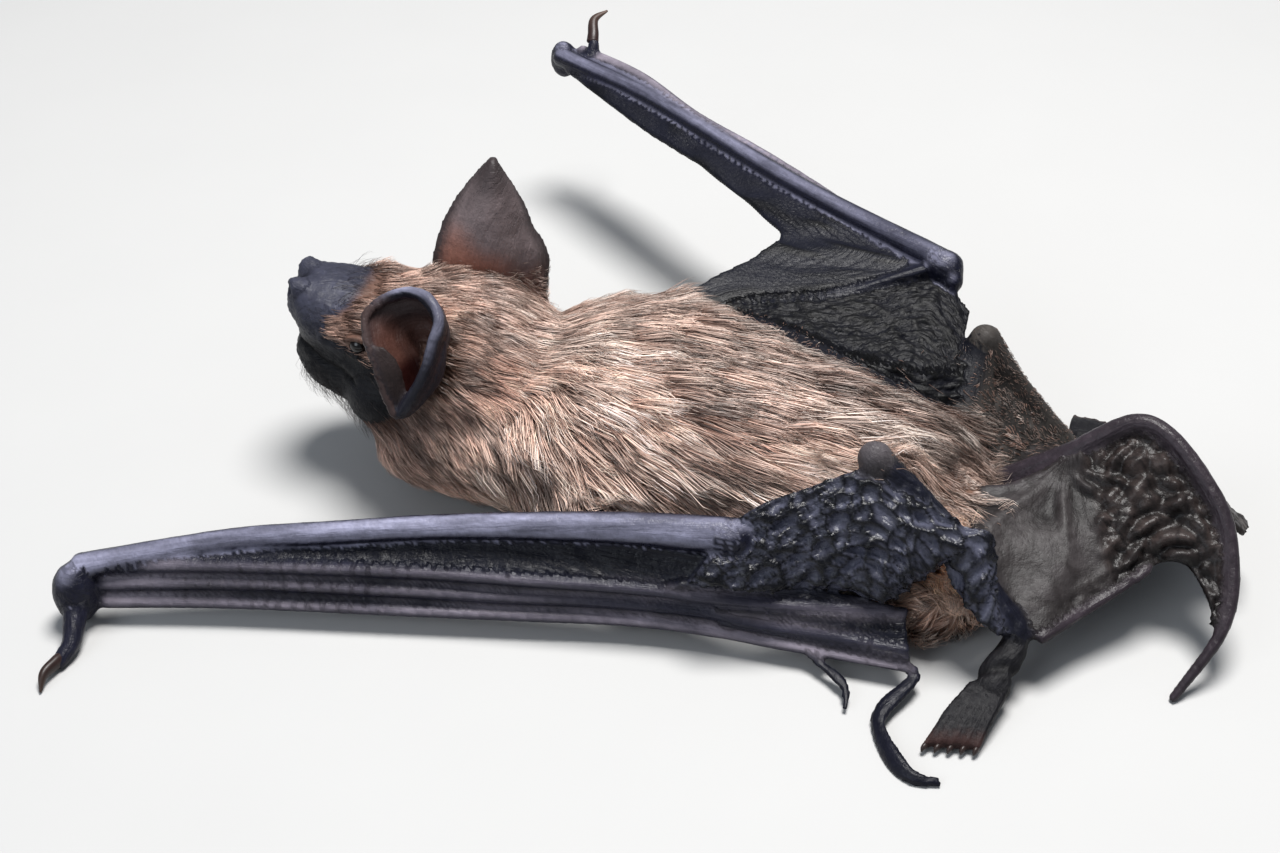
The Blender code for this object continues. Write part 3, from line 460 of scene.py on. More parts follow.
    def web(self, name, first_edge, second_edge, bulge=(0, 0, 0), thickness=SHEET, step=0.5):
        """A sheet of skin between two edges, arched between them by bulge."""
        first, second = np.asarray(first_edge, float), np.asarray(second_edge, float)
        columns = int(arc_length(first)[-1] / step) + 3
        rows = int(np.linalg.norm(first.mean(axis=0) - second.mean(axis=0)) / step) + 4
        self.sheet(name, between(first, second, rows, columns, bulge), thickness)


# ---------------------------------------------------------------------------------------------
# The body's forms


def inset(sections, side, top, under):
    """Sections with the coat's depth taken off their half width, top and underside."""
    return [(*row[:-3], row[-3] - side, row[-2] - top, row[-1] + under) for row in sections]


def add_head(body):
    def head_form(name, sections, rings, sides, squareness=2.3):
        rows = smooth_rows(sections, rings)
        path = [head_place(row[0], 0, (row[2] + row[3]) / 2) for row in rows]
        height = (rows[:, 2] - rows[:, 3]) / 2
        body.sweep(name, path, rows[:, 1], height, sides, squareness=squareness, dome=0.6)

    head_form("skull", inset(SKULL_SECTIONS, 0.75, 0.75, 0.6), 60, 72)
    body.points[-1] = hollowed(body.points[-1])
    head_form("muzzle", inset(MUZZLE_SECTIONS, 0.12, 0.1, 0.0), 34, 48)
    head_form("jaw", inset(JAW_SECTIONS, -0.1, -0.9, 0.1), 30, 40, 3.4)
    for side in (1, -1):
        body.ball("muzzle", head_place(10.8, side * 2.7, 0.8), (1.75, 2.7, 1.8))
        body.ball("nostril", head_place(13.8, side * 1.5, 2.35), (1.0, 1.0, 0.85))
        body.ball("brow", head_place(7.8, side * 2.9, 2.7), (1.7, 2.2, 0.9))
        body.ball("cheek", head_place(4.6, side * 5.6, -3.4), (2.2, 3.2, 2.6))
        body.ball("lid", head_place(7.4, side * 4.5, 0.8), (1.05, 1.05, 1.0))
    body.sheet("ear_right", far_ear(), ear_thickness(0.75))
    body.sheet("ear_left", near_ear(), 0.6)
    rim = smooth_rows(EAR_LEFT_RIM, 80)
    round_rim = (0, 0.12, 0.36, 0.46, 0.56, 0.7, 0.85, 1.0)
    half_sizes = (0.26, 0.14, 0.14, 0.34, 0.5, 0.6, 0.55, 0.4)
    thick = np.interp(np.linspace(0, 1, len(rim)), round_rim, half_sizes)
    body.sweep("ear_left_rim", rim * 0.985 + np.mean(rim, axis=0) * 0.015, thick, thick, 14)
    body.limb("tragus_left", TRAGUS_LEFT, (0.6, 1.15, 1.2, 0.5), step=0.3, up=(0.77, 0.2, 0.6), flatness=0.28)
    body.limb("tragus_right", TRAGUS_RIGHT, (1.0, 0.95, 0.8, 0.42), step=0.3, up=(1, 0, 0), flatness=0.5)


def hollowed(points):
    """Points of the skull, with those inside the near ear's cup pushed down under it."""
    cup = np.array(EAR_LEFT_BOTTOM) - EAR_LEFT_MIDDLE
    inward = unit(cup)
    depth = (points - EAR_LEFT_MIDDLE) @ inward
    aside = np.linalg.norm((points - EAR_LEFT_MIDDLE - depth[:, None] * inward) * (1, 1, 0.75), axis=1)
    held = fade(aside, 3.6, 2.4) * (depth > -6)
    wanted = np.linalg.norm(cup) + 0.7
    return points + inward * (np.maximum(wanted - depth, 0) * held)[:, None]


def ear_thickness(middle):
    """Thickness over an ear's sheet: full in the middle and at the base, thin towards the rims."""
    rows, columns = FAR_EAR_GRID
    across = np.sin(np.linspace(0.25, math.pi - 0.25, rows))[:, None]
    return middle * (0.62 + 0.5 * across) * np.linspace(1.15, 0.8, columns)[None]


def far_ear():
    """The right ear as a grid: a standing shell, open towards the bat's right."""
    rows, columns = FAR_EAR_GRID
    grid = between(EAR_RIGHT_FRONT, EAR_RIGHT_BACK, rows, columns, (2.0, 0.9, 0.6))
    # Two shallow folds run up the back of the shell.
    share = np.linspace(0, 1, rows)[:, None, None]
    crease = np.exp(-(((share - 0.72) / 0.07) ** 2)) * 0.35 + np.exp(-(((share - 0.35) / 0.09) ** 2)) * 0.2
    return grid - crease * np.linspace(1.0, 0.2, columns)[None, :, None] * np.array((0.8, 0.5, 0.3))


def near_ear(count=72):
    """The left ear as a grid from its rim down to the bottom of its cup."""
    loop = smooth_rows(np.vstack([EAR_LEFT_RIM, EAR_LEFT_RIM[:1]]), count + 1)
    middle = loop[:-1].mean(axis=0)
    depth = np.linspace(0, 1, 20)[:, None, None]
    size = np.interp(depth, (0, 0.12, 0.45, 0.85, 1.0), (1, 0.97, 0.8, 0.48, 0.05))
    grid = middle + (np.array(EAR_LEFT_BOTTOM) - middle) * depth + (loop[None] - middle) * size
    # The back of the cup swells behind its rim.
    around = np.linspace(0, 1, count + 1)[None, :, None]
    swell = np.exp(-(((around - 0.8) / 0.13) ** 2)) * np.sin(math.pi * np.clip(depth * 1.5, 0, 1))
    return grid + swell * np.array((-0.1, 0.6, -0.2))


def add_trunk(body):
    rows = smooth_rows(inset(TRUNK_SECTIONS, COAT_DEPTH, COAT_DEPTH, 0.9), 64)
    path = np.column_stack([rows[:, 1], rows[:, 0], (rows[:, 3] + rows[:, 4]) / 2])
    body.sweep("trunk", path, rows[:, 2], (rows[:, 3] - rows[:, 4]) / 2, 72, squareness=2.3, dome=0.3)
    body.limb("neck", NECK, (7.3, 8.8, 9.4), 56, 0.6, flatness=0.66)
    body.ball("haunch", (11.2, 27.4, 2.5), (3.6, 3.9, 2.5), 36)


def add_arms(body):
    body.limb("forearm_left", FOREARM_LEFT, (1.45, 1.22, 0.98, 0.92, 0.88, 1.0))
    body.limb("forearm_right", FOREARM_RIGHT, (1.32, 1.02, 0.92, 0.98))
    body.ball("wrist_left", (28.2, -36.4, 2.8), (1.85, 1.85, 2.8))
    body.ball("wrist_right", (-46.0, -19.2, 15.4), (1.25, 1.45, 2.05))
    body.ball("elbow_left", (16.0, 12.6, 9.3), (1.5, 1.6, 1.35))
    body.ball("elbow_right", (-16.3, 23.7, 15.3), (1.5, 1.75, 1.45))
    body.ball("elbow_right", (-15.4, 24.6, 14.5), (1.1, 1.0, 1.1))
    body.limb("upper_arm_left", ((9.0, -4.0, 4.6), (14.2, 3.0, 6.2), ELBOW_LEFT), (1.5, 1.4, 1.25))
    body.limb("upper_arm_right", ((-9.0, 3.0, 11.0), (-12.2, 15.0, 13.5), ELBOW_RIGHT), (0.8, 0.32, 0.6))
    body.limb("thumb_left", THUMB_LEFT, (1.1, 1.0, 0.75, 0.6), step=0.3)
    body.limb("thumb_right", THUMB_RIGHT, (0.9, 0.85, 0.65, 0.5), step=0.3, up=(0, 1, 0))


def add_legs(body):
    shin_left = (KNEE_LEFT, (11.2, 26.6, 11.4), (13.4, 31.0, 7.6), ANKLE_LEFT)
    body.limb("shin_left", shin_left, (1.1, 0.85, 0.8, 1.0))
    body.limb("shin_right", (KNEE_RIGHT, (-9.2, 31.3, 9.4), ANKLE_RIGHT), (1.25, 0.9, 0.9))
    body.ball("knee_left", KNEE_LEFT, (1.35, 1.4, 1.35))
    body.ball("knee_right", KNEE_RIGHT, (1.3, 1.35, 1.25))
    body.limb("thigh_left", ((5.5, 26.0, 6.5), (9.6, 23.0, 12.6), KNEE_LEFT), (2.2, 1.5, 1.3))
    body.limb("thigh_right", ((-4.0, 27.5, 7.5), (-8.8, 27.8, 12.0), KNEE_RIGHT), (2.4, 1.5, 1.2))
    for side, (ankle, sole, first, last) in FEET:
        ankle, sole, tips = np.array(ankle), np.array(sole), np.array((first, last))
        middle, raised = (ankle + sole) / 2, tips + (0, 0, 0.5)
        body.limb(f"foot_{side}", (ankle, middle, sole), (1.15, 1.4, 1.5), step=0.3, flatness=0.72)
        body.web(f"foot_{side}", (sole, raised[0]), (sole, raised[1]), (0, 0, 0.5), 0.7, 0.3)
        for tip, root, bend in toes(sole, tips):
            body.limb(f"toe_{side}", (root, bend, tip + (0, 0, 0.4)), (0.55, 0.58, 0.5), step=0.25, sides=14)


def toes(sole, tips):
    """The tip, root and bend of the five toes of a foot."""
    for k in range(5):
        tip = tips[0] + (tips[1] - tips[0]) * k / 4
        root = sole + (tip - tips.mean(axis=0)) * 0.75
        yield tip, root, (root + tip) / 2 + (0, 0, 0.5)


def toe_gaps(places):
    """How deep each place of the feet lies in the furrow between two toes, from 0 to 1."""
    gap = np.zeros(len(places))
    level = np.array((1.0, 1.0, 0.0))
    for _, (_, sole, first, last) in FEET:
        lines = [np.array(line) * level for line in toes(np.array(sole), np.array((first, last)))]
        away = np.min([from_line(places * level, (root, bend, tip)) for tip, root, bend in lines], axis=0)
        gap = np.maximum(gap, fade(away, 0.22, 0.55) * fade(away, 1.3, 0.9))
    return gap


def add_hands(body):
    paths = {
        "finger_5_left": FINGER_5_LEFT,
        "finger_4_left": FINGER_4_LEFT,
        "finger_3_left": FINGER_3_LEFT,
        "finger_3_right": FINGERS_RIGHT[0],
        "finger_4_right": FINGERS_RIGHT[1],
        "finger_5_right": FINGERS_RIGHT[2],
    }
    for name, path in paths.items():
        body.limb(name, path, np.interp(np.linspace(0, 1, 9), (0, 0.1, 0.6, 1), (0.56, 0.46, 0.44, 0.36)), 14)
    radii = (0.5, 0.62, 0.75, 0.62, 0.78, 0.6, 0.4)
    body.limb("fold_tip_left", FINGER_3_FOLD_LEFT, radii, 14, 0.4, up=(0.6, -0.4, 0.7), flatness=0.5)
    body.limb("second_tip_left", FINGER_2_TIP_LEFT, (0.5, 0.4, 0.5, 0.4, 0.28), 12, 0.4, flatness=0.5)
    # The folded skin between neighbouring fingers hangs in shallow pleats.
    for upper, lower in (("finger_5_left", "finger_4_left"), ("finger_4_left", "finger_3_left")):
        body.web("hand_web_left", paths[upper], paths[lower], (-0.35, 0, 0.0), 0.3, 0.4)
    for upper, lower in (("finger_3_right", "finger_4_right"), ("finger_4_right", "finger_5_right")):
        body.web("hand_web_right", paths[upper][:7], paths[lower][:7], (-0.3, 0, 0.0), 0.3, 0.4)
    body.web("hand_web_right", FOREARM_RIGHT[:0:-1], FINGERS_RIGHT[0][:5], (0, 0, 0.1), 0.9, 0.4)


def add_tail(body):
    body.limb("tail", TAIL, (1.25, 0.92, 0.78, 0.72, 0.62, 0.52, 0.38), 16, 0.5)
    body.limb("calcar_left", CALCAR_LEFT, (0.48, 0.4, 0.36, 0.3), 12, 0.4)
    body.limb("calcar_right", CALCAR_RIGHT, (0.48, 0.4, 0.32), 12, 0.4)


def add_membranes(body):
    body.web("plagio_left", PLAGIO_LEFT_UPPER, PLAGIO_LEFT_LOWER, (0.8, 0.2, 0.6), 0.7)
    body.web("wing_web_left", FOREARM_LEFT[::-1], FINGER_5_LEFT[:6], (-0.9, 0, 0))
    body.web("fifth_web_left", FIFTH_WEB_UPPER, FINGER_5_LEFT[4:])
    body.web("hand_hem_left", FINGER_5_LEFT[5:], HAND_WEB_LOWER)
    body.web("plagio_right", ARM_WEB_RIGHT, FLANK_RIGHT, (0.3, 0, -0.5))
    body.web("plagio_right", FLANK_RIGHT, np.array(FLANK_RIGHT) + (3.4, 0.6, -3.2), (-0.4, 0, 0.4))
    body.web("propatagium_right", PROPATAGIUM_RIGHT_ARM, PROPATAGIUM_RIGHT_EDGE)
    body.web("leg_web_right", LEG_WEB_RIGHT_TAIL, LEG_WEB_RIGHT_SHIN)
    body.web("tail_web_left", TAIL_WEB_LEG, TAIL_WEB_RIDGE, (0.3, 0, 0.5), 0.45)
    body.web("tail_web_right", TAIL[:4], TAIL_WEB_RIGHT_EDGE, (0, 0, -0.6), 0.45)
    body.web("tail_web_root", TAIL_WEB_RIDGE[:5], TAIL_WEB_ROOT, (0, 0, -0.5), 0.45)


# ---------------------------------------------------------------------------------------------
# The fused skin


def plain_mesh(name, points, faces):
    mesh = bpy.data.meshes.new(name)
    mesh.from_pydata(np.asarray(points).tolist(), [], faces)
    return placed(name, mesh)


def fuse(body):
    """The forms as one closed mesh: (points, faces of four corners), in millimetres."""
    lump = plain_mesh("fused_forms", np.vstack(body.points), body.faces)
    remesh = lump.modifiers.new("Fuse", "REMESH")
    remesh.mode = "VOXEL"
    remesh.voxel_size = VOXEL
    remesh.adaptivity = 0.0
    graph = bpy.context.evaluated_depsgraph_get()
    mesh = bpy.data.meshes.new_from_object(lump.evaluated_get(graph))
    points = np.empty(len(mesh.vertices) * 3)
    mesh.vertices.foreach_get("co", points)
    faces = np.empty(len(mesh.loops), np.int64)
    mesh.loops.foreach_get("vertex_index", faces)
    for mesh_used in (mesh, lump.data):
        bpy.data.meshes.remove(mesh_used)
    return points.reshape(-1, 3), faces.reshape(-1, 4)


class Skin:
    """The fused mesh, with the nearest marker's facts for each of its points."""

    def __init__(self, body):
        self.points, self.faces = fuse(body)
        ends = np.concatenate([self.faces[:, [k, (k + 1) % 4]] for k in range(4)])
        self.edges = np.unique(np.sort(ends, axis=1), axis=0)
        self.valence = np.bincount(self.edges.ravel(), minlength=len(self.points))[:, None]
        # Rounds off the steps that the voxels leave, without shrinking the skin.
        for _ in range(5):
            self.relax(0.5)
            self.relax(-0.52)
        self.names = body.names
        markers = np.vstack(body.markers)
        found = markers[nearest(markers[:, :3], range(len(markers)), self.points)]
        self.seat, self.out, self.along = found[:, :3], found[:, 3:6], found[:, 6:9]
        self.mm, self.share = found[:, 9:11], found[:, 11:13]
        self.part = found[:, 13].astype(int)
        offset, across = self.points - self.seat, unit(np.cross(self.out, self.along))
        self.mm = self.mm + np.stack([(offset * way).sum(axis=1) for way in (self.along, across)], axis=1)
        # A sheet's two faces share these places, so that they wrinkle together.
        self.level = self.points - self.out * (offset * self.out).sum(axis=1, keepdims=True)
        self.soften(("muzzle", "jaw", "brow", "cheek", "lid", "skull"), 24)
        self.soften(("trunk", "neck", "skull", "thigh", "haunch", "cheek"), 30)
        self.soften(("foot", "toe", "knee", "elbow", "wrist", "shin", "tragus"), 5)
        self.head = head_coordinates(self.points)
        self.measure()

    def relax(self, amount):
        self.points += (self.spread(self.points, 1) - self.points) * amount

    def soften(self, parts, times):
        """Smooths the joins between those parts."""
        share = self.spread(self.on(*parts), 3)[:, None] ** 2
        for _ in range(times):
            self.points += (self.spread(self.points, 1) - self.points) * 0.9 * share

    def spread(self, values, times):
        """Values evened out over neighbouring points."""
        flat = values.ndim == 1
        values = values[:, None] if flat else values
        a, b = self.edges.T
        for _ in range(times):
            total = np.empty_like(values)
            for k in range(values.shape[1]):
                total[:, k] = np.bincount(a, values[b, k], len(values))
                total[:, k] += np.bincount(b, values[a, k], len(values))
            values = total / self.valence
        return values[:, 0] if flat else values

    def measure(self):
        """Works out each point's normal."""
        corners = self.points[self.faces]
        normals = np.cross(corners[:, 2] - corners[:, 0], corners[:, 3] - corners[:, 1])
        total = np.empty_like(self.points)
        for k in range(3):
            total[:, k] = np.bincount(self.faces.ravel(), np.repeat(normals[:, k], 4), len(self.points))
        self.normals = unit(total)

    def belongs(self, part, starts):
        """Whether each of those part numbers is of a part whose name starts so."""
        return np.isin(part, [k for k, name in enumerate(self.names) if name.startswith(starts)])

    def on(self, *starts):
        """1 at the points of the parts whose names start so, 0 elsewhere."""
        return self.belongs(self.part, starts).astype(float)

    def where(self, *starts):
        return np.flatnonzero(self.on(*starts))

    def crest_way(self):
        """The way that the painted highlight on the crests of the folded fingers faces on each side."""
        near = self.points[:, :1] > 0
        return np.where(near, unit(np.array((0.8, 0.1, 0.55))), unit(np.array((-0.2, -0.1, 1.0))))


def join_forms():
    body = Forms()
    for add in (add_head, add_trunk, add_arms, add_legs, add_hands, add_tail, add_membranes):
        add(body)
    return Skin(body)


# ---------------------------------------------------------------------------------------------
# Relief of the skin


def pucker(skin, rows, along, across, height, seed):
    """Lozenge puckers on a membrane, as the sheet's move along its own way out, and their creases."""
    grid = np.column_stack([skin.mm[rows, 0] / along, skin.mm[rows, 1] / across, np.zeros(len(rows))])
    grid += 0.3 * np.column_stack([noise(skin.level[rows], 2.0, seed + k) for k in (1, 2, 3)])
    depth, number = pebbles(grid, 1.0, seed)
    dome = np.clip(depth / 0.7, 0, 1) ** 0.75
    return (dome - 0.6) * height * (0.6 + 0.8 * number), dome


def furrow(skin, rows, period, height, seed, wander=0.35):
    """Long uneven furrows along a sheet."""
    wide = np.column_stack([skin.mm[rows, 0] / 11.0, skin.mm[rows, 1] / 1.8, 0 * rows])
    place = skin.mm[rows, 1] + wander * noise(wide, 1.0, seed)
    wave = np.sin(place * 2 * math.pi / period + 1.6 * noise(wide, 1.6, seed + 9))
    sharp = (1 - np.abs(wave)) ** 2
    lift = -sharp * height + 0.35 * height * noise(wide, 0.8, seed + 3)
    return lift, 1 - 0.7 * sharp


def fibres(skin, rows, height, seed):
    """Fine fibres that fan out from the far elbow."""
    spots = skin.level[rows]
    away = spots - np.array(ELBOW_RIGHT)
    reach = np.linalg.norm(away, axis=1)
    turn = np.arctan2(away[:, 1], away[:, 0]) + 0.05 * noise(spots, 4.0, seed)
    fine = 0.6 * np.sin(turn * 38 + 3 * noise(spots, 6.0, seed + 1)) + 0.4 * np.sin(turn * 57 + reach)
    broad = np.sin(turn * 17 + 2.5 * noise(spots, 5.0, seed + 2))
    lift = height * (fine * fade(reach, 4.0, 9.0) + 1.6 * broad * fade(reach, 2.0, 6.0))
    return lift, fade(fine + broad, -1.5, 0.3)


def behind_peak(spots):
    """1 on the tail membrane behind the tent's peak, 0 ahead of it."""
    return fade(spots[:, 1] - 0.42 * spots[:, 0] + 0.5 * noise(spots, 1.6, 119), 36.1, 37.3)


def from_peak(spots):
    """The way from the tent's peak to each spot, and how far it is."""
    away = spots - np.array(TENT_PEAK)
    return away, np.linalg.norm(away, axis=1)


def tent_folds(skin, rows):
    """Folds that fan out from the tent's peak, with blistered skin behind it and a tight hem."""
    spots = skin.level[rows]
    lift = 0.28 * crumple(spots, 4.0, 71, 2) + 0.1 * crumple(spots, 1.1, 73, 2)
    away, reach = from_peak(spots)
    turn = np.arctan2(away[:, 1], away[:, 0]) * 6.5 + 2.6 * noise(spots, 4.0, 75)
    pleat = 1 - 2 * np.abs(np.sin(turn)) ** 0.7
    lift += 0.5 * pleat * np.exp(-((reach / 9.0) ** 2)) * fade(reach, 0.4, 3.0) * (1 + noise(spots, 3.0, 78))
    behind = behind_peak(spots)
    shrunk, dome = pucker(skin, rows, 2.3, 1.5, 1.1, 77)
    shrunk += 0.3 * crumple(spots, 1.0, 76, 2)
    lift = lift * (1 - 0.7 * behind) + shrunk * behind
    hem = fade(from_line(spots, TAIL_WEB_LEG[4:]), 2.8, 0.9)
    tight, _ = pucker(skin, rows, 1.8, 0.6, 0.4, 79)
    lift += tight * hem
    return lift, np.minimum(fade(lift, -0.5, 0.05), 1 - behind * (1 - dome))


def shape_relief(skin):
    """Moves the skin's points into its folds and wrinkles, and keeps the depth of each crease."""
    skin.plain = skin.normals.copy()
    move = np.zeros_like(skin.points)
    crease = np.ones(len(skin.points))
    plans = (
        # The part, its kind of relief, and that kind's sizes in mm and seed.
        ("plagio_left", pucker, (1.5, 1.05, 1.2, 31)),
        ("fifth_web_left", furrow, (0.9, 0.16, 37)),
        ("wing_web_left", furrow, (1.5, 0.2, 41)),
        ("hand_web_left", furrow, (1.1, 0.08, 43)),
        ("hand_hem_left", furrow, (1.2, 0.2, 44)),
        ("hand_web_right", furrow, (1.1, 0.1, 47)),
        ("plagio_right", pucker, (2.2, 0.75, 0.7, 53)),
        ("propatagium_right", fibres, (0.075, 59)),
        ("leg_web_right", pucker, (1.4, 0.8, 0.25, 61)),
        ("tail_web_right", pucker, (2.1, 0.9, 0.35, 67)),
        ("tail_web_left", tent_folds, ()),
    )
    for part, kind, sizes in plans:
        rows = skin.where(part)
        if len(rows):
            lift, dome = kind(skin, rows, *sizes)
            move[rows] = skin.out[rows] * lift[:, None]
            crease[rows] = dome
    rows = skin.where("tail_web_left")
    move[rows, 2] += np.exp(-((from_peak(skin.level[rows])[1] / 1.5) ** 2))
    for parts, along, across, height, seed in (
        (("forearm", "upper_arm", "shin", "fold_tip", "second_tip"), 2.4, 0.4, 0.05, 81),
        (("thumb", "wrist", "elbow"), 0.8, 0.5, 0.1, 83),
        (("shin_left",), 0.9, 0.7, 0.22, 84),
        (("knee_left",), 1.2, 1.0, 0.06, 86),
        (("foot", "toe", "calcar"), 3.2, 0.5, 0.16, 85),
        (("tail",), 0.9, 0.5, 0.06, 87),
    ):
        rows = np.setdiff1d(skin.where(*parts), skin.where("tail_web"))
        lift, dome = pucker(skin, rows, along, across, height, seed)
        move[rows] = skin.normals[rows] * lift[:, None]
        crease[rows] = 0.5 + 0.5 * dome
    rows = skin.where("foot", "toe")
    gaps = toe_gaps(skin.seat[rows] * 0.3 + skin.points[rows] * 0.7)
    move[rows] -= skin.normals[rows] * (0.32 * gaps)[:, None]
    crease[rows] = np.minimum(crease[rows], 1 - 0.85 * gaps)
    skin.points += skin.spread(move, 1)
    skin.measure()
    shape_head(skin)
    shape_ears(skin)
    skin.crease = np.minimum(crease, skin.crease)
    # Nothing sinks into the floor: what reaches it lies flat on it.
    skin.points[:, 2] = np.maximum(skin.points[:, 2], SKIN_FLOOR)
    skin.measure()


def shape_head(skin):
    """Mouth, nostrils, eyelids and the creases of the muzzle."""
    rows = skin.where("skull", "muzzle", "jaw", "brow", "cheek", "lid", "neck", "nostril")
    forward, left, upward = skin.head[rows].T
    side = np.abs(left)
    spots = skin.points[rows]
    lift = np.zeros(len(rows))
    crease = np.ones(len(rows))

    def press(depth, amount):
        nonlocal lift, crease
        lift -= depth * amount
        crease = np.minimum(crease, 1 - amount)

    # The closed mouth runs from under the nose back below the eye.
    mouth = -2.35 + 0.45 * fade(forward, 9, 5.5) + 0.1 * np.sin(forward * 1.7)
    press(0.22, np.exp(-(((upward - mouth) / 0.17) ** 2)) * fade(forward, 6.4, 7.6))
    lift += 0.16 * np.exp(-(((upward - mouth - 0.6) / 0.4) ** 2)) * fade(forward, 6.8, 8.5)
    # Above the eye a fold of skin hangs over a deep slit.
    slit = 0.25 + (10.3 - forward) * 0.27
    length = fade(forward, 5.4, 6.6) * fade(forward, 10.9, 10.0) * fade(side, 2.6, 3.6)
    press(0.6, np.exp(-(((upward - slit + 0.3) / 0.42) ** 2)) * length)
    lift += 0.42 * np.exp(-(((upward - slit - 0.5) / 0.42) ** 2)) * length
    for sign in (1, -1):
        hole = np.linalg.norm(skin.head[rows] - np.array((14.5, sign * 1.9, 2.2)), axis=1)
        press(0.5, fade(hole, 0.6, 0.25))
        lift += 0.12 * np.exp(-(((hole - 0.8) / 0.2) ** 2))
        eye = np.linalg.norm((skin.head[rows] - np.array((7.4, sign * 5.3, 0.75))) / (1.2, 1, 0.75), axis=1)
        press(0.75, fade(eye, 0.95, 0.55))
        lift += 0.18 * np.exp(-(((eye - 1.05) / 0.18) ** 2))
    press(0.22, np.exp(-((left / 0.5) ** 2)) * fade(forward, 13.0, 14.2) * fade(upward, 0.4, 1.8))
    # Fine grain of the naked muzzle.
    naked = fade(forward, 6.5, 9.0)
    depth, _ = pebbles(spots, 0.7, 95)
    lift += naked * 0.06 * (fade(depth, 0, 0.4) - 0.7)
    lift += naked * 0.12 * crumple(spots, 1.7, 97, 2)
    skin.points[rows] += skin.normals[rows] * lift[:, None]
    skin.crease = np.ones(len(skin.points))
    skin.crease[rows] = crease


def shape_ears(skin):
    """Ridges inside the near ear and the soft ripple of both."""
    for part, seed in (("ear_left", 101), ("ear_right", 103), ("tragus", 105)):
        rows = skin.where(part)
        spots = skin.points[rows]
        lift = 0.12 * crumple(spots, 1.8, seed, 3)
        if part == "ear_left":
            lift += 0.1 * np.sin(skin.mm[rows, 1] * 2.6 + 2 * noise(spots, 3, seed + 5))
        skin.points[rows] += skin.out[rows] * lift[:, None]


# ---------------------------------------------------------------------------------------------
# Colour of the skin

INK = np.array((0.0042, 0.0046, 0.0092))
MUZZLE_BLACK = np.array((0.026, 0.027, 0.041))
FOLD_TAN = np.array((0.11, 0.06, 0.044))
ARM_BLUE = np.array((0.0095, 0.01, 0.021))
SCALE_SLATE = np.array((0.08, 0.083, 0.118))
# Painted sheen on the arms and on the near ear's rim.
ARM_PAINTED_SHEEN = np.array((0.27, 0.27, 0.37))
KNEE_GREY = np.array((0.075, 0.066, 0.072))
# Painted highlight along the crests of the fingers.
RIDGE_HIGHLIGHT_LILAC = np.array((0.33, 0.29, 0.34))
TENT_DARK = np.array((0.03, 0.026, 0.0265))
TENT_BROWN = np.array((0.0525, 0.039, 0.036))
TENT_VEIN = np.array((0.028, 0.023, 0.023))
TAIL_PLUM = np.array((0.03, 0.023, 0.029))
EAR_RED = np.array((0.06, 0.026, 0.02))
EAR_BACK = np.array((0.115, 0.09, 0.092))
EAR_BASE = np.array((0.23, 0.1, 0.072))
EAR_EDGE = np.array((0.03, 0.023, 0.024))
EAR_TOP = np.array((0.035, 0.024, 0.024))
# Painted shade at the bottom of the near ear's cup.
CUP_SHADE = np.array((0.02, 0.005, 0.0045))
EAR_RIM = np.array((0.013, 0.013, 0.02))
TRAGUS_BROWN = np.array((0.02, 0.013, 0.0125))
FOOT_SLATE = np.array((0.0056, 0.0053, 0.0072))
TOE_RED = np.array((0.035, 0.016, 0.014))
CLAW_DARK = np.array((0.022, 0.01, 0.009))
CLAW_PALE = np.array((0.09, 0.055, 0.042))
TOE_CLAW_ROOT = np.array((0.02, 0.012, 0.011))
TOE_CLAW_TIP = np.array((0.025, 0.016, 0.014))
UNDERFUR = np.array((0.15, 0.085, 0.06))
OLIVE = np.array((0.05, 0.044, 0.04))


def mix(first, second, share):
    return first + (second - first) * np.asarray(share)[..., None]


def bare_face(skin, soft=0.7):
    """1 where the face is naked, 0 where it is furred: the fur ends in a point over each eye."""
    forward, _, upward = skin.head.T
    steps = (-8.5, -6.0, -3.0, -0.2, 0.45, 0.8, 3.3)
    line = np.interp(upward, steps, (8.4, 5.6, 3.1, 3.3, 5.0, 10.2, 8.6))
    line += 0.8 * crumple(skin.points, 1.6, 111, 2)
    return fade(forward, line - soft, line + soft)


def bare_flank(places, low=-1.2, high=3.4):
    """1 where the far flank is naked membrane, fading to 0 at the edge of the fur."""
    x, y, z = places.T
    edge = np.interp(y, (5.0, 10.0, 16.0, 21.0, 25.0, 29.0), (-7.5, -4.6, -1.4, 0.2, -0.4, -3.5))
    aside = edge - x + 0.7 * noise(places, 2.2, 113)
    return fade(aside, low, high) * fade(z, 7.5, 10.0) * fade(y, 4.0, 9.0) * fade(y, 31.0, 27.0)


def paint_skin(skin):
    """Each point's colour, and its gloss from 0, dull, to 1, wet."""
    colour, gloss = paint_parts(skin)
    for step in (paint_bones, paint_face, paint_tent, paint_flank, paint_creases, paint_ears):
        colour, gloss = step(skin, colour, gloss)
    tips = skin.on("toe") * fade(skin.share[:, 0], 0.7, 0.97)
    colour = mix(colour, TOE_RED, tips * 0.8)
    return np.clip(colour, 0.002, 1), np.clip(gloss, 0, 1)


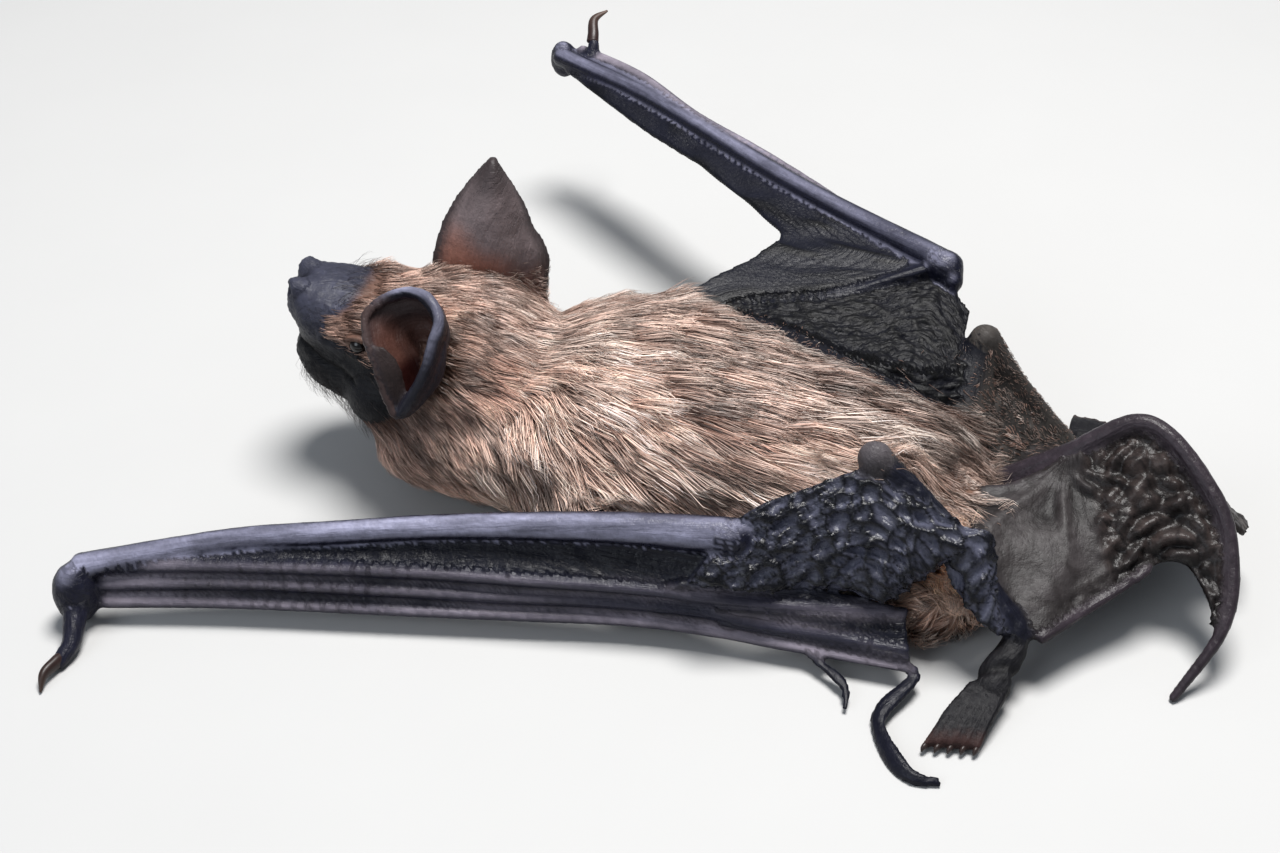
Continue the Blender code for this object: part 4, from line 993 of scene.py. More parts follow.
def paint_parts(skin):
    """The plain colour and gloss of each part of the bat."""
    count = len(skin.points)
    colour = np.tile(UNDERFUR, (count, 1))
    gloss = np.full(count, 0.15)

    def lay(parts, paint, shine):
        rows = skin.where(*parts)
        colour[rows] = paint
        gloss[rows] = shine

    lay(("muzzle", "jaw", "lid"), MUZZLE_BLACK, 0.55)
    lay(("ear_left",), EAR_RED, 0.45)
    lay(("ear_left_rim",), EAR_RIM, 0.55)
    lay(("ear_right",), EAR_BACK, 0.35)
    lay(("tragus",), TRAGUS_BROWN, 0.15)
    lay(("forearm", "elbow", "knee"), ARM_BLUE, 0.72)
    lay(("knee_left",), KNEE_GREY, 0.45)
    lay(("upper_arm", "shin_left"), INK * 1.6, 0.45)
    lay(("wrist", "thumb"), ARM_BLUE, 0.5)
    lay(("finger",), INK * 2.2, 0.55)
    lay(("fold_tip", "second_tip"), INK * 1.4, 0.5)
    lay(("plagio", "wing_web", "fifth_web", "hand"), INK, 0.65)
    lay(("plagio_left",), SCALE_SLATE, 0.8)
    lay(("plagio_right",), INK * 0.6, 0.62)
    lay(("propatagium",), INK, 0.45)
    lay(("shin_right", "knee_right", "leg_web"), OLIVE * 0.8, 0.3)
    lay(("thigh",), OLIVE * 0.7, 0.2)
    lay(("tail", "calcar"), TAIL_PLUM, 0.6)
    lay(("tail_web_left", "tail_web_right"), TENT_DARK, 0.35)
    lay(("foot", "toe"), FOOT_SLATE, 0.15)
    return skin.spread(colour, 3), skin.spread(gloss, 3)


def paint_bones(skin, colour, gloss):
    """Painted highlights: pale lilac along the finger crests that face crest_way, least so where the near
    hand fans out, and painted sheen on the tops and outer sides of the arms.
    """
    fingers = fade(skin.spread(skin.on("finger"), 4), 0.2, 0.6)
    crest = skin.spread(fingers * fade(dots(skin.plain, skin.crest_way()), 0.88, 0.995), 3)
    fan = skin.on("finger_4_left", "finger_5_left") * fade(skin.points[:, 1], -4.0, 4.0)
    crest_highlight_strength = skin.spread(0.6 + 0.4 * skin.on("finger_3") - fan * (0.36 + 0.18 * skin.on("finger_4")), 4)
    streaks = noise(np.column_stack([skin.mm[:, 0] / 5.0, skin.mm[:, 1] / 0.5, 0 * crest]), 1.0, 109)
    # The painted highlight along the finger crests, strongest on the third finger.
    colour = mix(colour, RIDGE_HIGHLIGHT_LILAC, crest * crest_highlight_strength * (0.85 + 0.3 * streaks))
    # Painted sheen: the faces of the arms turned up, and those of the near forearm turned to the near side,
    # are painted light blue-grey.
    lit = skin.plain @ unit(np.array((0.4, -0.1, 0.9)))
    painted_arm_sheen = skin.on("forearm", "elbow", "wrist") * fade(lit, 0.7, 1.0)
    painted_arm_sheen *= 1 - 0.45 * skin.on("forearm_right")
    lit = skin.plain @ unit(np.array((0.7, 0, 0.7)))
    painted_arm_sheen = np.maximum(painted_arm_sheen, skin.on("forearm_left") * fade(lit, 0.3, 0.9))
    return mix(colour, ARM_PAINTED_SHEEN, painted_arm_sheen * (0.72 + 0.4 * streaks)), gloss


def paint_face(skin, colour, gloss):
    """Naked face: black from the muzzle back to the eye and down the cheek, under a tan fold. The naked skin
    is painted lightest on top of the muzzle's front and darkest below and behind it, painted light and shade,
    with pale flecks on that lit top.
    """
    forward, _, upward = skin.head.T
    face = skin.on("skull", "cheek", "brow", "neck", "muzzle", "jaw", "lid", "nostril")
    colour = mix(colour, FOLD_TAN, face * fade(forward, 5.0, 6.5) * fade(upward, 0.4, 0.9))
    naked = face * bare_face(skin)
    # Painted light and shade over the naked face: light on the top of the muzzle's front, nearly black below
    # and behind.
    painted_top_light = 0.12 + 1.0 * fade(forward + 0.4 * upward, 7.0, 11.0) * fade(upward, -2.0, 1.6)
    colour = mix(colour, MUZZLE_BLACK * painted_top_light[:, None], naked)
    specks = fade(noise(skin.points, 0.45, 115), 0.25, 0.6) * fade(painted_top_light, 0.4, 1.0)
    colour = mix(colour, MUZZLE_BLACK * 2.0, 0.3 * naked * specks)
    return colour, gloss + (0.4 - gloss) * naked


def paint_tent(skin, colour, gloss):
    """The tail tent: dark before its peak, browner behind it, with faint branching veins."""
    spots = skin.points
    tent = skin.on("tail_web")
    behind = behind_peak(spots) * tent
    colour = mix(colour, TENT_BROWN, 0.85 * behind)
    gloss += (0.6 - gloss) * behind
    hem = fade(from_line(spots, TAIL_WEB_LEG[3:]) + 0.4 * noise(spots, 1.3, 123), 2.3, 0.9) * tent
    colour = mix(colour, TENT_VEIN * 0.5, 0.85 * hem)
    rows = np.flatnonzero(tent)
    warp = spots[rows] + 0.9 * np.column_stack([noise(spots[rows], 2.2, 121 + k) for k in range(3)])
    for size, width, strength in ((2.6, 0.2, 0.85), (1.3, 0.26, 0.6)):
        depth, _ = pebbles(warp, size, int(size * 40))
        colour[rows] = mix(colour[rows], TENT_VEIN * 0.5, strength * fade(depth, width, 0.0))
    return colour, gloss


def paint_flank(skin, colour, gloss):
    """The far flank: black shrunken skin that greys into the fur."""
    flank = bare_flank(skin.points) * skin.on("trunk", "plagio_right", "thigh")
    dark = mix(OLIVE * 0.5, INK * 0.7, fade(flank, 0.4, 0.85))
    return mix(colour, dark, fade(flank, 0.1, 0.5)), gloss + (0.3 - gloss) * fade(flank, 0.4, 0.9)


def paint_creases(skin, colour, gloss):
    """Creases, pits, the slits of the face and the furrows between the toes are painted darker as painted
    shade, most of all on the near arm's membrane, and all skin is mottled.
    """
    colour = colour * (0.35 + 0.65 * skin.crease)[:, None]
    colour = mix(colour, colour * 0.15, skin.on("plagio_left") * fade(skin.crease, 0.5, 0.15))
    mottle = 1 + 0.3 * crumple(skin.points, 3.0, 131, 3) + 0.12 * noise(skin.points, 0.6, 133)
    return colour * mottle[:, None], gloss


def paint_ears(skin, colour, gloss):
    """The near ear, which opens to the bat's left, and the far ear, which turns its back to it."""
    spots = skin.points
    # Inside of the near ear: dark at the top, lit red in the middle, and painted shade, nearly black, down in
    # its cup.
    ear = skin.on("ear_left") * (1 - skin.on("ear_left_rim"))
    aim = dots(skin.out, EAR_LEFT_MIDDLE - skin.seat)
    facing = 1.0 if (aim * ear).sum() > 0 else -1.0
    inward = dots(skin.out, spots - skin.seat) * facing > 0.02
    inner = ear * inward
    height = spots[:, 2] + 0.5 * noise(spots, 1.5, 137)
    colour = mix(colour, EAR_TOP, inner * fade(height, 16.4, 18.6))
    colour = mix(colour, CUP_SHADE, inner * fade(height, 15.6, 14.4))
    colour = mix(colour, EAR_RIM, ear * (1 - inward) * 0.9)
    front = skin.on("ear_left_rim") * fade(skin.share[:, 0], 0.47, 0.36)
    colour = mix(colour, TRAGUS_BROWN * 2.2, front)
    # Painted highlight: the upper rim of the near ear, where it faces up, is painted light blue-grey, except
    # at its front.
    painted_rim_highlight = skin.on("ear_left_rim") * fade(skin.plain[:, 2], 0.2, 0.9) * fade(spots[:, 2], 15.0, 18.5)
    colour = mix(colour, ARM_PAINTED_SHEEN, (1 - front) * painted_rim_highlight * (0.5 + 0.4 * noise(spots, 1.4, 138)))
    gloss = gloss + (0.6 - gloss) * inner * fade(height, 17.0, 14.5)
    # Far ear: brown at the base, with a dark tip and rims.
    far = skin.on("ear_right")
    low = fade(skin.share[:, 0] + 0.35 * skin.share[:, 1] + 0.12 * noise(spots, 2.5, 139), 0.75, 0.3)
    colour = mix(colour, EAR_BASE, far * low)
    rim = np.maximum(np.abs(skin.share[:, 1] - 0.5) * 2, skin.share[:, 0])
    return mix(colour, EAR_EDGE, far * fade(rim, 0.7, 0.97)), gloss


# ---------------------------------------------------------------------------------------------
# Finishes


class Mix:
    """A shader socket that adds nodes when it is used in an expression."""

    def __init__(self, tree, socket):
        self.tree, self.socket = tree, socket

    def is_colour(self):
        return self.socket.type in ("RGBA", "VECTOR")

    def combine(self, operation, other, swap=False):
        pair = (other, self) if swap else (self, other)
        coloured = any(isinstance(one, Mix) and one.is_colour() or isinstance(one, tuple) for one in pair)
        kind = "ShaderNodeVectorMath" if coloured else "ShaderNodeMath"
        made = self.tree.nodes.new(kind)
        made.operation = operation
        for k, one in enumerate(pair):
            if isinstance(one, Mix):
                self.tree.links.new(one.socket, made.inputs[k])
            elif coloured:
                made.inputs[k].default_value = one if isinstance(one, tuple) else (one,) * 3
            else:
                made.inputs[k].default_value = one
        return Mix(self.tree, made.outputs[0])

    def __add__(self, other):
        return self.combine("ADD", other)

    def __radd__(self, other):
        return self.combine("ADD", other, True)

    def __sub__(self, other):
        return self.combine("SUBTRACT", other)

    def __rsub__(self, other):
        return self.combine("SUBTRACT", other, True)

    def __mul__(self, other):
        return self.combine("MULTIPLY", other)

    def __rmul__(self, other):
        return self.combine("MULTIPLY", other, True)


class Finish:
    """One procedural material: its shader, and the nodes that feed it."""

    def __init__(self, name, **settings):
        self.material = bpy.data.materials.new(name)
        self.material.use_nodes = True
        self.tree = self.material.node_tree
        self.shader = self.tree.nodes["Principled BSDF"]
        for socket, value in settings.items():
            self.shader.inputs[socket.replace("_", " ")].default_value = value

    def node(self, kind, settings=None, output=0, **values):
        """A node of that kind, with its settings made first and then its sockets filled."""
        made = self.tree.nodes.new("ShaderNode" + kind)
        for setting, value in (settings or {}).items():
            setattr(made, setting, value)
        for socket, value in values.items():
            self.fill(made.inputs[socket.replace("_", " ")], value)
        return Mix(self.tree, made.outputs[output])

    def fill(self, socket, value):
        if isinstance(value, Mix):
            self.tree.links.new(value.socket, socket)
        else:
            socket.default_value = value

    def feed(self, **values):
        for socket, value in values.items():
            self.fill(self.shader.inputs[socket.replace("_", " ")], value)

    def place(self):
        """Where a point lies, in millimetres."""
        return self.node("TexCoord", output="Object") * 1000.0

    def grain(self, size, detail=3.0, place=None):
        """Noise in lumps of that size in millimetres, about 0.5."""
        where = self.place() if place is None else place
        return self.node("TexNoise", Vector=where, Scale=1.0 / size, Detail=detail)

    def stored(self, name, output=0):
        return self.node("Attribute", {"attribute_name": name}, output)


def skin_finish():
    hide = Finish("bat_skin", Specular_IOR_Level=0.18)
    gloss, scaly = hide.stored("Gloss", "Fac"), hide.stored("Scaly", "Fac")
    lie = hide.stored("Lie", "Vector")
    fine, specks = hide.grain(0.35), hide.grain(0.12, 2.0)
    lines = hide.node("TexNoise", Vector=lie * (0.35, 3.2, 0.0), Scale=1.0, Detail=3.0)
    cells = hide.node("TexVoronoi", Vector=lie * (1.15, 2.3, 0.0), Scale=1.0)
    paint = hide.stored("Paint", "Color")
    # Painted shade: the base colour is darker in the sunken grooves between the scale cells.
    hide.feed(Base_Color=paint * (0.65 + 0.4 * fine + 0.35 * lines - 0.2 * (scaly * cells)))
    hide.feed(Roughness=0.66 - 0.5 * gloss + 0.3 * (fine - 0.5))
    height = 0.3 * fine + 0.12 * specks + 0.6 * lines - 0.8 * (scaly * cells)
    hide.feed(Normal=hide.node("Bump", Height=height, Strength=0.8, Distance=0.0002))
    return hide.material


def coat_finish():
    fur = Finish("bat_fur", Roughness=0.38, Specular_IOR_Level=0.5)
    paint = fur.stored("Paint", "Color")
    fur.feed(Base_Color=paint * (0.85 + 0.3 * fur.grain(0.5)))
    return fur.material


def claw_finish():
    horn = Finish("claw_horn", Roughness=0.3, Specular_IOR_Level=0.3)
    paint = horn.stored("Paint", "Color")
    streak = horn.grain(0.2)
    horn.feed(Base_Color=paint * (0.8 + 0.4 * streak), Roughness=0.3 + 0.2 * streak)
    return horn.material


def eye_finish():
    eye = Finish("bat_eye", Roughness=0.16, Specular_IOR_Level=0.4)
    eye.feed(Base_Color=eye.grain(0.4) * (0.012, 0.009, 0.008))
    return eye.material


def floor_finish():
    board = Finish("pale_floor", Roughness=0.7)
    board.feed(Base_Color=(0.97 + 0.03 * board.grain(14.0)) * (0.43, 0.43, 0.425))
    return board.material


# ---------------------------------------------------------------------------------------------
# Pieces


def grouped(faces):
    """Faces as a list of arrays, one for each number of corners."""
    counts = sorted({len(face) for face in faces})
    return [np.array([face for face in faces if len(face) == count]) for count in counts]


def build_piece(name, points, faces, finish, slot, nodes=(), paint=None, **stored):
    """A finished piece that rides on the body, from points in millimetres and arrays of faces.

    stored holds a number, or a place, for each point.
    """
    mesh = bpy.data.meshes.new(name)
    corners = np.concatenate([group.ravel() for group in faces])
    sizes = np.concatenate([np.full(len(group), group.shape[1]) for group in faces])
    mesh.vertices.add(len(points))
    mesh.vertices.foreach_set("co", (points * MM).ravel())
    mesh.loops.add(len(corners))
    mesh.loops.foreach_set("vertex_index", corners)
    mesh.polygons.add(len(sizes))
    mesh.polygons.foreach_set("loop_start", np.concatenate([[0], np.cumsum(sizes)[:-1]]))
    mesh.polygons.foreach_set("use_smooth", np.full(len(sizes), True))
    mesh.update(calc_edges=True)
    if paint is not None:
        layer = mesh.attributes.new("Paint", "FLOAT_COLOR", "POINT")
        layer.data.foreach_set("color", np.column_stack([paint, np.ones(len(paint))]).ravel())
    for key, values in stored.items():
        kind, field = ("FLOAT", "value") if values.ndim == 1 else ("FLOAT_VECTOR", "vector")
        mesh.attributes.new(key, kind, "POINT").data.foreach_set(field, values.ravel())
    mesh.materials.append(finish)
    thing = placed(name, mesh)
    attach(thing, "root")
    if nodes:
        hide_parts(*nodes)
    return thing


def build_skin(skin):
    paint, gloss = paint_skin(skin)
    apart = {"eye_left", "eye_right", "thumb_claw_left", "thumb_claw_right"}
    nodes = [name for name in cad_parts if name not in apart]
    hide = skin_finish()
    scaly = skin.on("plagio", "shin_left") + 0.35 * skin.on("leg_web", "elbow", "wrist", "thumb", "foot")
    scaly += 0.5 * skin.on("tail_web_left") * behind_peak(skin.points)
    lie = np.column_stack([skin.mm, 0 * gloss])
    tent = skin.where("tail_web")
    away, lie[tent, 0] = from_peak(skin.points[tent])
    lie[tent, 1] = 2.2 * np.arctan2(away[:, 1], away[:, 0])
    stored = {"Gloss": gloss, "Scaly": skin.spread(scaly, 2), "Lie": lie}
    build_piece("skin", skin.points, [skin.faces], hide, "dark_skin", nodes, paint, **stored)


def build_eyes():
    finish = eye_finish()
    for side, name in ((1, "left"), (-1, "right")):
        eye = Forms()
        eye.ball("eye", head_place(7.4, side * 4.42, 0.7), (0.8, 0.84, 0.78), 28)
        eye.ball("cornea", head_place(7.42, side * 4.66, 0.7), (0.56, 0.6, 0.56), 24)
        build_piece(f"eye_{name}", np.vstack(eye.points), grouped(eye.faces), finish, "eye", [f"eye_{name}"])


def build_claws():
    finish = claw_finish()
    thumbs = (("left", THUMB_CLAW_LEFT, (0, 0, 1)), ("right", THUMB_CLAW_RIGHT, (0, 1, 0)))
    for name, path, up in thumbs:
        claw = Forms()
        claw.limb("claw", path, (0.5, 0.46, 0.36, 0.1), 16, 0.12, up, flatness=1.25, dome=0.5)
        share = claw.markers[0][:, 11:12]
        pale = CLAW_PALE * (0.35 if name == "left" else 1.0)
        paint = CLAW_DARK * (1 - share) + pale * share**2
        node = f"thumb_claw_{name}"
        build_piece(node, np.vstack(claw.points), grouped(claw.faces), finish, "claw_horn", [node], paint)
    for side, (_, sole, first, last) in FEET:
        claw = Forms()
        for tip, _, bend in toes(np.array(sole), np.array((first, last))):
            ahead = unit((tip - bend) * (1, 1, 0.0))
            path = (tip + (0, 0, 0.34), tip + ahead * 0.34 + (0, 0, 0.36), tip + ahead * 0.5 + (0, 0, 0.12))
            claw.limb("claw", path, (0.24, 0.19, 0.07), 12, 0.1, flatness=1.3, dome=0.5)
        share = np.vstack(claw.markers)[:, 11:12]
        paint = TOE_CLAW_ROOT * (1 - share) + TOE_CLAW_TIP * share
        name, points = f"toe_claws_{side}", np.vstack(claw.points)
        build_piece(name, points, grouped(claw.faces), finish, "claw_horn", paint=paint)


# ---------------------------------------------------------------------------------------------
# The coat

# Where on the body, the way the hair lies there, its length and how far it rises, in mm.
GROOM = (
    ((1.0, -23.0, 14.5), (0.0, 1.0, 0.3), 1.6, 0.35),
    ((0.6, -18.5, 16.8), (0.0, 1.0, 0.2), 3.0, 0.7),
    ((0.5, -13.0, 17.2), (0.05, 1.0, 0.0), 4.6, 1.0),
    ((0.5, -6.0, 14.8), (0.15, 1.0, -0.1), 6.4, 1.3),
    ((7.6, -19.0, 9.6), (0.25, 0.8, -0.5), 2.2, 0.4),
    ((8.0, -15.0, 5.6), (0.35, 0.5, -0.8), 3.4, 0.7),
    ((3.0, -20.0, 2.8), (0.3, 0.6, -0.7), 2.8, 0.6),
    ((-7.6, -18.0, 9.6), (-0.25, 0.8, -0.5), 2.6, 0.5),
    ((-7.6, -13.0, 6.0), (-0.3, 0.7, -0.7), 3.6, 0.8),
    ((0.0, -14.0, 2.2), (0.0, 0.9, -0.2), 2.8, 0.4),
    ((9.4, -7.0, 8.0), (0.55, 0.5, -0.8), 5.6, 1.3),
    ((-8.6, -6.0, 9.0), (-0.3, 0.9, -0.4), 5.2, 1.2),
    ((11.6, -1.0, 10.0), (0.45, 0.9, -0.45), 6.8, 1.4),
    ((12.6, 8.0, 8.0), (0.25, 1.0, -0.4), 7.0, 1.3),
    ((11.0, 19.0, 8.0), (0.3, 1.0, -0.2), 6.4, 1.3),
    ((1.0, 4.0, 15.2), (0.1, 1.0, -0.05), 7.6, 1.4),
    ((2.0, 16.0, 14.2), (0.05, 1.0, -0.1), 7.4, 1.4),
    ((3.0, 25.0, 11.0), (0.1, 1.0, -0.3), 5.8, 1.2),
    ((2.0, 29.0, 6.0), (0.0, 0.8, -0.6), 4.2, 0.8),
    ((-10.6, 2.0, 10.0), (-0.4, 1.0, -0.3), 6.0, 1.3),
    ((-12.0, 12.0, 8.0), (-0.2, 1.0, -0.3), 6.0, 1.2),
    ((-8.0, 24.0, 8.0), (-0.3, 1.0, -0.3), 5.0, 1.0),
    ((0.0, 8.0, 0.5), (0.0, 1.0, 0.0), 3.0, 0.3),
    ((12.0, 28.0, 4.0), (0.6, 0.3, 0.6), 3.2, 1.3),
    ((7.0, -12.4, 16.6), (0.1, 1.0, 0.1), 2.4, 0.4),
    ((-4.6, -13.0, 16.4), (-0.3, 1.0, 0.1), 2.4, 0.45),
    ((-7.2, -9.6, 12.6), (-0.3, 1.0, -0.2), 2.8, 0.5),
    ((-9.2, 28.6, 13.0), (0.0, 0.5, -0.6), 0.9, 0.25),
    ((-9.4, 33.0, 8.0), (0.0, 0.5, -0.9), 0.9, 0.25),
    ((-11.5, 18.0, 13.4), (-0.6, 0.8, 0.1), 1.6, 0.3),
    ((-12.5, 12.0, 13.6), (-0.5, 0.9, 0.1), 2.0, 0.4),
)
STATIONS = np.array((0.0, 0.4, 0.78, 1.0))  # of each tuft, as shares of its length
RISES = (0.0, 0.7, 1.0, 0.85)  # height at each station, as a share of the tuft's rise
WIDTHS = (1.0, 0.85, 0.5)  # at each station but the tip
PATCH = 0.003  # size of a tuft's patch on the bake map
TIP_START = 0.62  # where along a tuft its tip's colour starts
PALEST = 0.93
FUR_ROOT = np.array((0.1, 0.054, 0.04))
FUR_TAN = np.array((0.44, 0.305, 0.248))
# Pale buff of the hair tips, bright enough to serve in part as the coat's painted highlight.
FUR_BUFF = np.array((0.95, 0.83, 0.74))
FUR_DARK = np.array((0.12, 0.062, 0.044))
FUR_HEAD = np.array((0.33, 0.21, 0.165))
FUR_DUSK = np.array((0.12, 0.088, 0.074))
FUR_ORANGE = np.array((0.62, 0.29, 0.13))
FACE_HAIR = np.array((0.022, 0.015, 0.014))


def furriness(skin):
    """How thickly each point of the skin is furred, from 0 to 1."""
    spots = skin.points
    fur = skin.on("trunk", "neck", "skull", "brow", "cheek", "haunch")
    fur += 0.4 * skin.on("thigh") + 0.25 * skin.on("shin_right", "knee_right", "leg_web")
    fur += 0.1 * skin.on("plagio_right") * fade(from_line(spots, FLANK_RIGHT), 4.0, 1.0)
    fur = skin.spread(fur, 2) * (1 - 0.93 * bare_flank(spots))
    fur *= 1 - bare_face(skin, 1.9) * (spots[:, 1] < -12)
    inside = skin.on("ear_left", "tragus") * (spots[:, 1] < -13.2)
    fur *= 1 - inside
    hidden = np.linalg.norm((spots - EAR_LEFT_MIDDLE) / (3.4, 2.4, 3.8), axis=1)
    fur *= fade(hidden, 0.85, 1.05)
    fur += 0.6 * skin.on("ear_right") * fade(skin.share[:, 0], 0.4, 0.05)
    # The belly only shows at its edge, so it is thin there.
    return fur * (0.3 + 0.7 * fade(skin.normals[:, 2], -0.75, -0.2))


def guided(places):
    """The groom at those places: the way the hair lies, its length and rise."""
    centres = np.array([row[0] for row in GROOM])
    ways = unit(np.array([row[1] for row in GROOM], float))
    sizes = np.array([row[2:] for row in GROOM])
    away = np.linalg.norm(places[:, None] - centres[None], axis=2)
    pull = np.exp(-((away / 5.2) ** 2)) + 1e-6 / (1 + away**2)
    pull /= pull.sum(axis=1, keepdims=True)
    return unit(pull @ ways), pull @ sizes


def flattened(ways, normals):
    """Directions laid into the plane square to the normals."""
    return unit(ways - normals * dots(ways, normals)[:, None])


def closed_to_hair(places):
    """1 where hair may not lie: naked flank, near knee, cup of the near ear, and nearby membranes."""
    knee = fade(np.linalg.norm(places - np.array(KNEE_LEFT), axis=1), 5.0, 3.0)
    cup = fade(np.linalg.norm(places - EAR_LEFT_MIDDLE, axis=1), 4.2, 3.2)
    tent = fade(from_line(places, TAIL_WEB_RIDGE[:6]), 2.6, 1.2) * fade(places[:, 1], 28.0, 30.0)
    web = fade(from_line(places, PLAGIO_LEFT_UPPER[:12]), 2.4, 1.2)
    return np.maximum.reduce([bare_flank(places), knee, cup, tent, web])


class Coat:
    """The tufts: their roots on the skin and the places that each passes through."""

    def __init__(self, skin, tree, fur, count, rng, sizes=None, dye=None):
        triangles = np.concatenate([skin.faces[:, [0, 1, 2]], skin.faces[:, [0, 2, 3]]])
        corners = skin.points[triangles]
        area = np.linalg.norm(np.cross(corners[:, 1] - corners[:, 0], corners[:, 2] - corners[:, 0]), axis=1)
        weight = area * fur[triangles].mean(axis=1)
        # Shorter hair needs more tufts to cover the same skin.
        weight *= np.clip(6.5 / guided(corners.mean(axis=1))[1][:, 0], 1.0, 2.2) * (weight > 0)
        chosen = rng.choice(len(triangles), count, p=weight / weight.sum())
        share = rng.dirichlet((1, 1, 1), count)
        self.roots = np.einsum("ij,ijk->ik", share, corners[chosen])
        self.normals = unit(np.einsum("ij,ijk->ik", share, skin.normals[triangles[chosen]]))
        self.part = skin.part[triangles[chosen, 0]]
        self.skin, self.tree = skin, tree
        self.sizes, self.dye = sizes, dye
        self.comb(rng)
        self.gather(rng, crowd=12, strength=0.6)
        self.gather(rng, crowd=50, strength=0.5)

    def at_parts(self, *starts):
        return self.skin.belongs(self.part, starts)

    def comb(self, rng):
        """Lays each tuft along the body, station by station."""
        count = len(self.roots)
        ways, sizes = guided(self.roots)
        swirl = np.column_stack([crumple(self.roots, 7.0, 141 + k, 3) for k in range(3)])
        ways = unit(ways + 0.42 * swirl + 0.065 * rng.normal(size=(count, 3)))
        shorter = self.at_parts("shin_right", "knee_right", "leg_web", "plagio_right", "thigh_right", "ear")
        sizes = sizes * np.where(shorter, 0.28, 1.0)[:, None]
        if self.sizes:
            sizes = np.tile(np.array(self.sizes), (count, 1))
        for reach in (0.5, 1.0):
            ahead = self.roots + flattened(ways, self.normals) * sizes[:, :1] * reach
            sizes *= (1 - 0.72 * closed_to_hair(ahead))[:, None]
        self.length = sizes[:, 0] * rng.uniform(0.75, 1.12, count)
        layer = rng.uniform(0.15, 1.0, count) ** 0.8
        uneven = 1 + 0.25 * noise(self.roots, 3.0, 151) + 0.4 * noise(self.roots, 1.1, 153)
        self.rise = sizes[:, 1] * layer * uneven
        spots = self.roots - self.normals * 0.08
        normals = self.normals
        path = [spots]
        for k in range(1, len(STATIONS)):
            way = flattened(ways, normals)
            step = (STATIONS[k] - STATIONS[k - 1]) * self.length
            spots = spots + way * step[:, None]
            found = [self.tree.find_nearest(spot) for spot in spots]
            ground = np.array([hit[0] for hit in found])
            normals = unit(np.array([hit[1] for hit in found]) + 0.6 * normals)
            spots = ground + normals * (0.06 + self.rise * RISES[k])[:, None]
            path.append(spots)
        self.path = np.stack(path, axis=1)

    def gather(self, rng, crowd, strength):
        """Draws the tips of neighbouring tufts together into locks, and waves them."""
        count = len(self.roots)
        centres = rng.choice(count, max(8, count // crowd), replace=False)
        self.lock = lock = nearest(self.roots[centres], centres, self.roots)
        aside = np.linalg.norm(self.roots - self.roots[lock], axis=1)
        self.edge = fade(aside / max(aside.mean(), 1e-6), 0.5, 1.9)
        pull = STATIONS[None, :, None] ** 1.1 * strength * rng.uniform(0.1, 1.2, count)[:, None, None]
        led = self.path[lock] + (self.roots - self.roots[lock])[:, None] * 0.35
        self.path = self.path + (led - self.path) * pull
        phase = noise(self.roots[lock], 0.9, 161) * 6.0
        side = unit(np.cross(self.path[:, -1] - self.path[:, 0], self.normals))
        curl = self.curl()
        wave = np.sin(phase[:, None] + STATIONS[None] * 5.5) * STATIONS[None] * curl[:, None]
        self.path += side[:, None] * wave[:, :, None] * (self.length * 0.04)[:, None, None]
        sunk = (0.5 - self.edge) * self.rise * strength
        self.path += self.normals[:, None] * (sunk[:, None] * STATIONS)[:, :, None]

    def curl(self):
        """How strongly the hair curls: most on the haunch, where it is woolly."""
        woolly = blob(self.roots, (11.6, 28.0, 4.5), 5.0)
        neck = blob(self.roots, (9.0, -4.0, 8.0), 6.0)
        return 1.0 + 3.0 * woolly + 1.2 * neck

    def colours(self, rng):
        """The colour of each tuft at each of its stations."""
        spots = self.roots
        if self.dye is not None:
            shade = np.exp(rng.normal(0, 0.35, len(spots)))[:, None, None]
            return self.dye * shade * (0.6 + 0.9 * STATIONS[None, :, None])
        patch = crumple(spots[self.lock], 6.0, 171, 3)
        tan = mix(FUR_TAN, FUR_DARK, fade(-patch, 0.05, 0.45) * 0.8)
        tan = mix(tan, FUR_BUFF, fade(patch, 0.1, 0.5) * 0.3)
        head = fade(spots[:, 1], -9.0, -14.0)
        tan = mix(tan, FUR_HEAD, head * 0.85)
        # Painted light and shade: the near side, the middle of the back and the nape behind the near ear are
        # painted lighter, and the rear away from the near side is painted darker, with less pale tips.
        middle = fade(spots[:, 1], 18.0, 12.0)
        sunlit = (0.7 + 0.45 * middle) * fade(spots[:, 0], 0.0, 8.0) * (1 - head)
        sunlit += 0.9 * blob(spots, (8.5, -8.5, 12.5), 4.5)
        painted_rear_shade = 0.8 * fade(spots[:, 1], 6.0, 20.0) * fade(spots[:, 0], 10.0, 4.0)
        tan = tan * (1.16 + sunlit - 0.9 * painted_rear_shade)[:, None]
        far = 0.3 * fade(spots[:, 0], 2.0, -6.0) * (1 - head)
        tan = mix(tan, FUR_DUSK, np.maximum(far, 0.9 * bare_flank(spots, -6.0, 0.5)))
        legs = self.at_parts("shin_right", "knee_right", "leg_web", "plagio_right", "thigh_right")
        tan = mix(tan, OLIVE, 0.9 * legs)
        tan = mix(tan, EAR_RED * 1.4, 0.8 * self.at_parts("ear_right"))
        tan = mix(tan, FUR_ORANGE, 0.8 * blob(spots, (11.0, 27.5, 5.0), 6.0))
        kind = rng.uniform(size=len(spots))
        streak = noise(np.column_stack([spots[:, 0] / 1.1, spots[:, 1] / 6.0, spots[:, 2] / 1.1]), 1.0, 175)
        tan = mix(tan, FUR_DARK, 0.55 * fade(streak, 0.15, 0.6))
        tan = mix(tan, FUR_BUFF, 0.4 * fade(-streak, 0.2, 0.6) * (1 - head))
        tan = mix(tan, FUR_DARK, (kind < 0.24) * 0.72)
        pale = (kind > 0.74) * (1 - 0.6 * head)
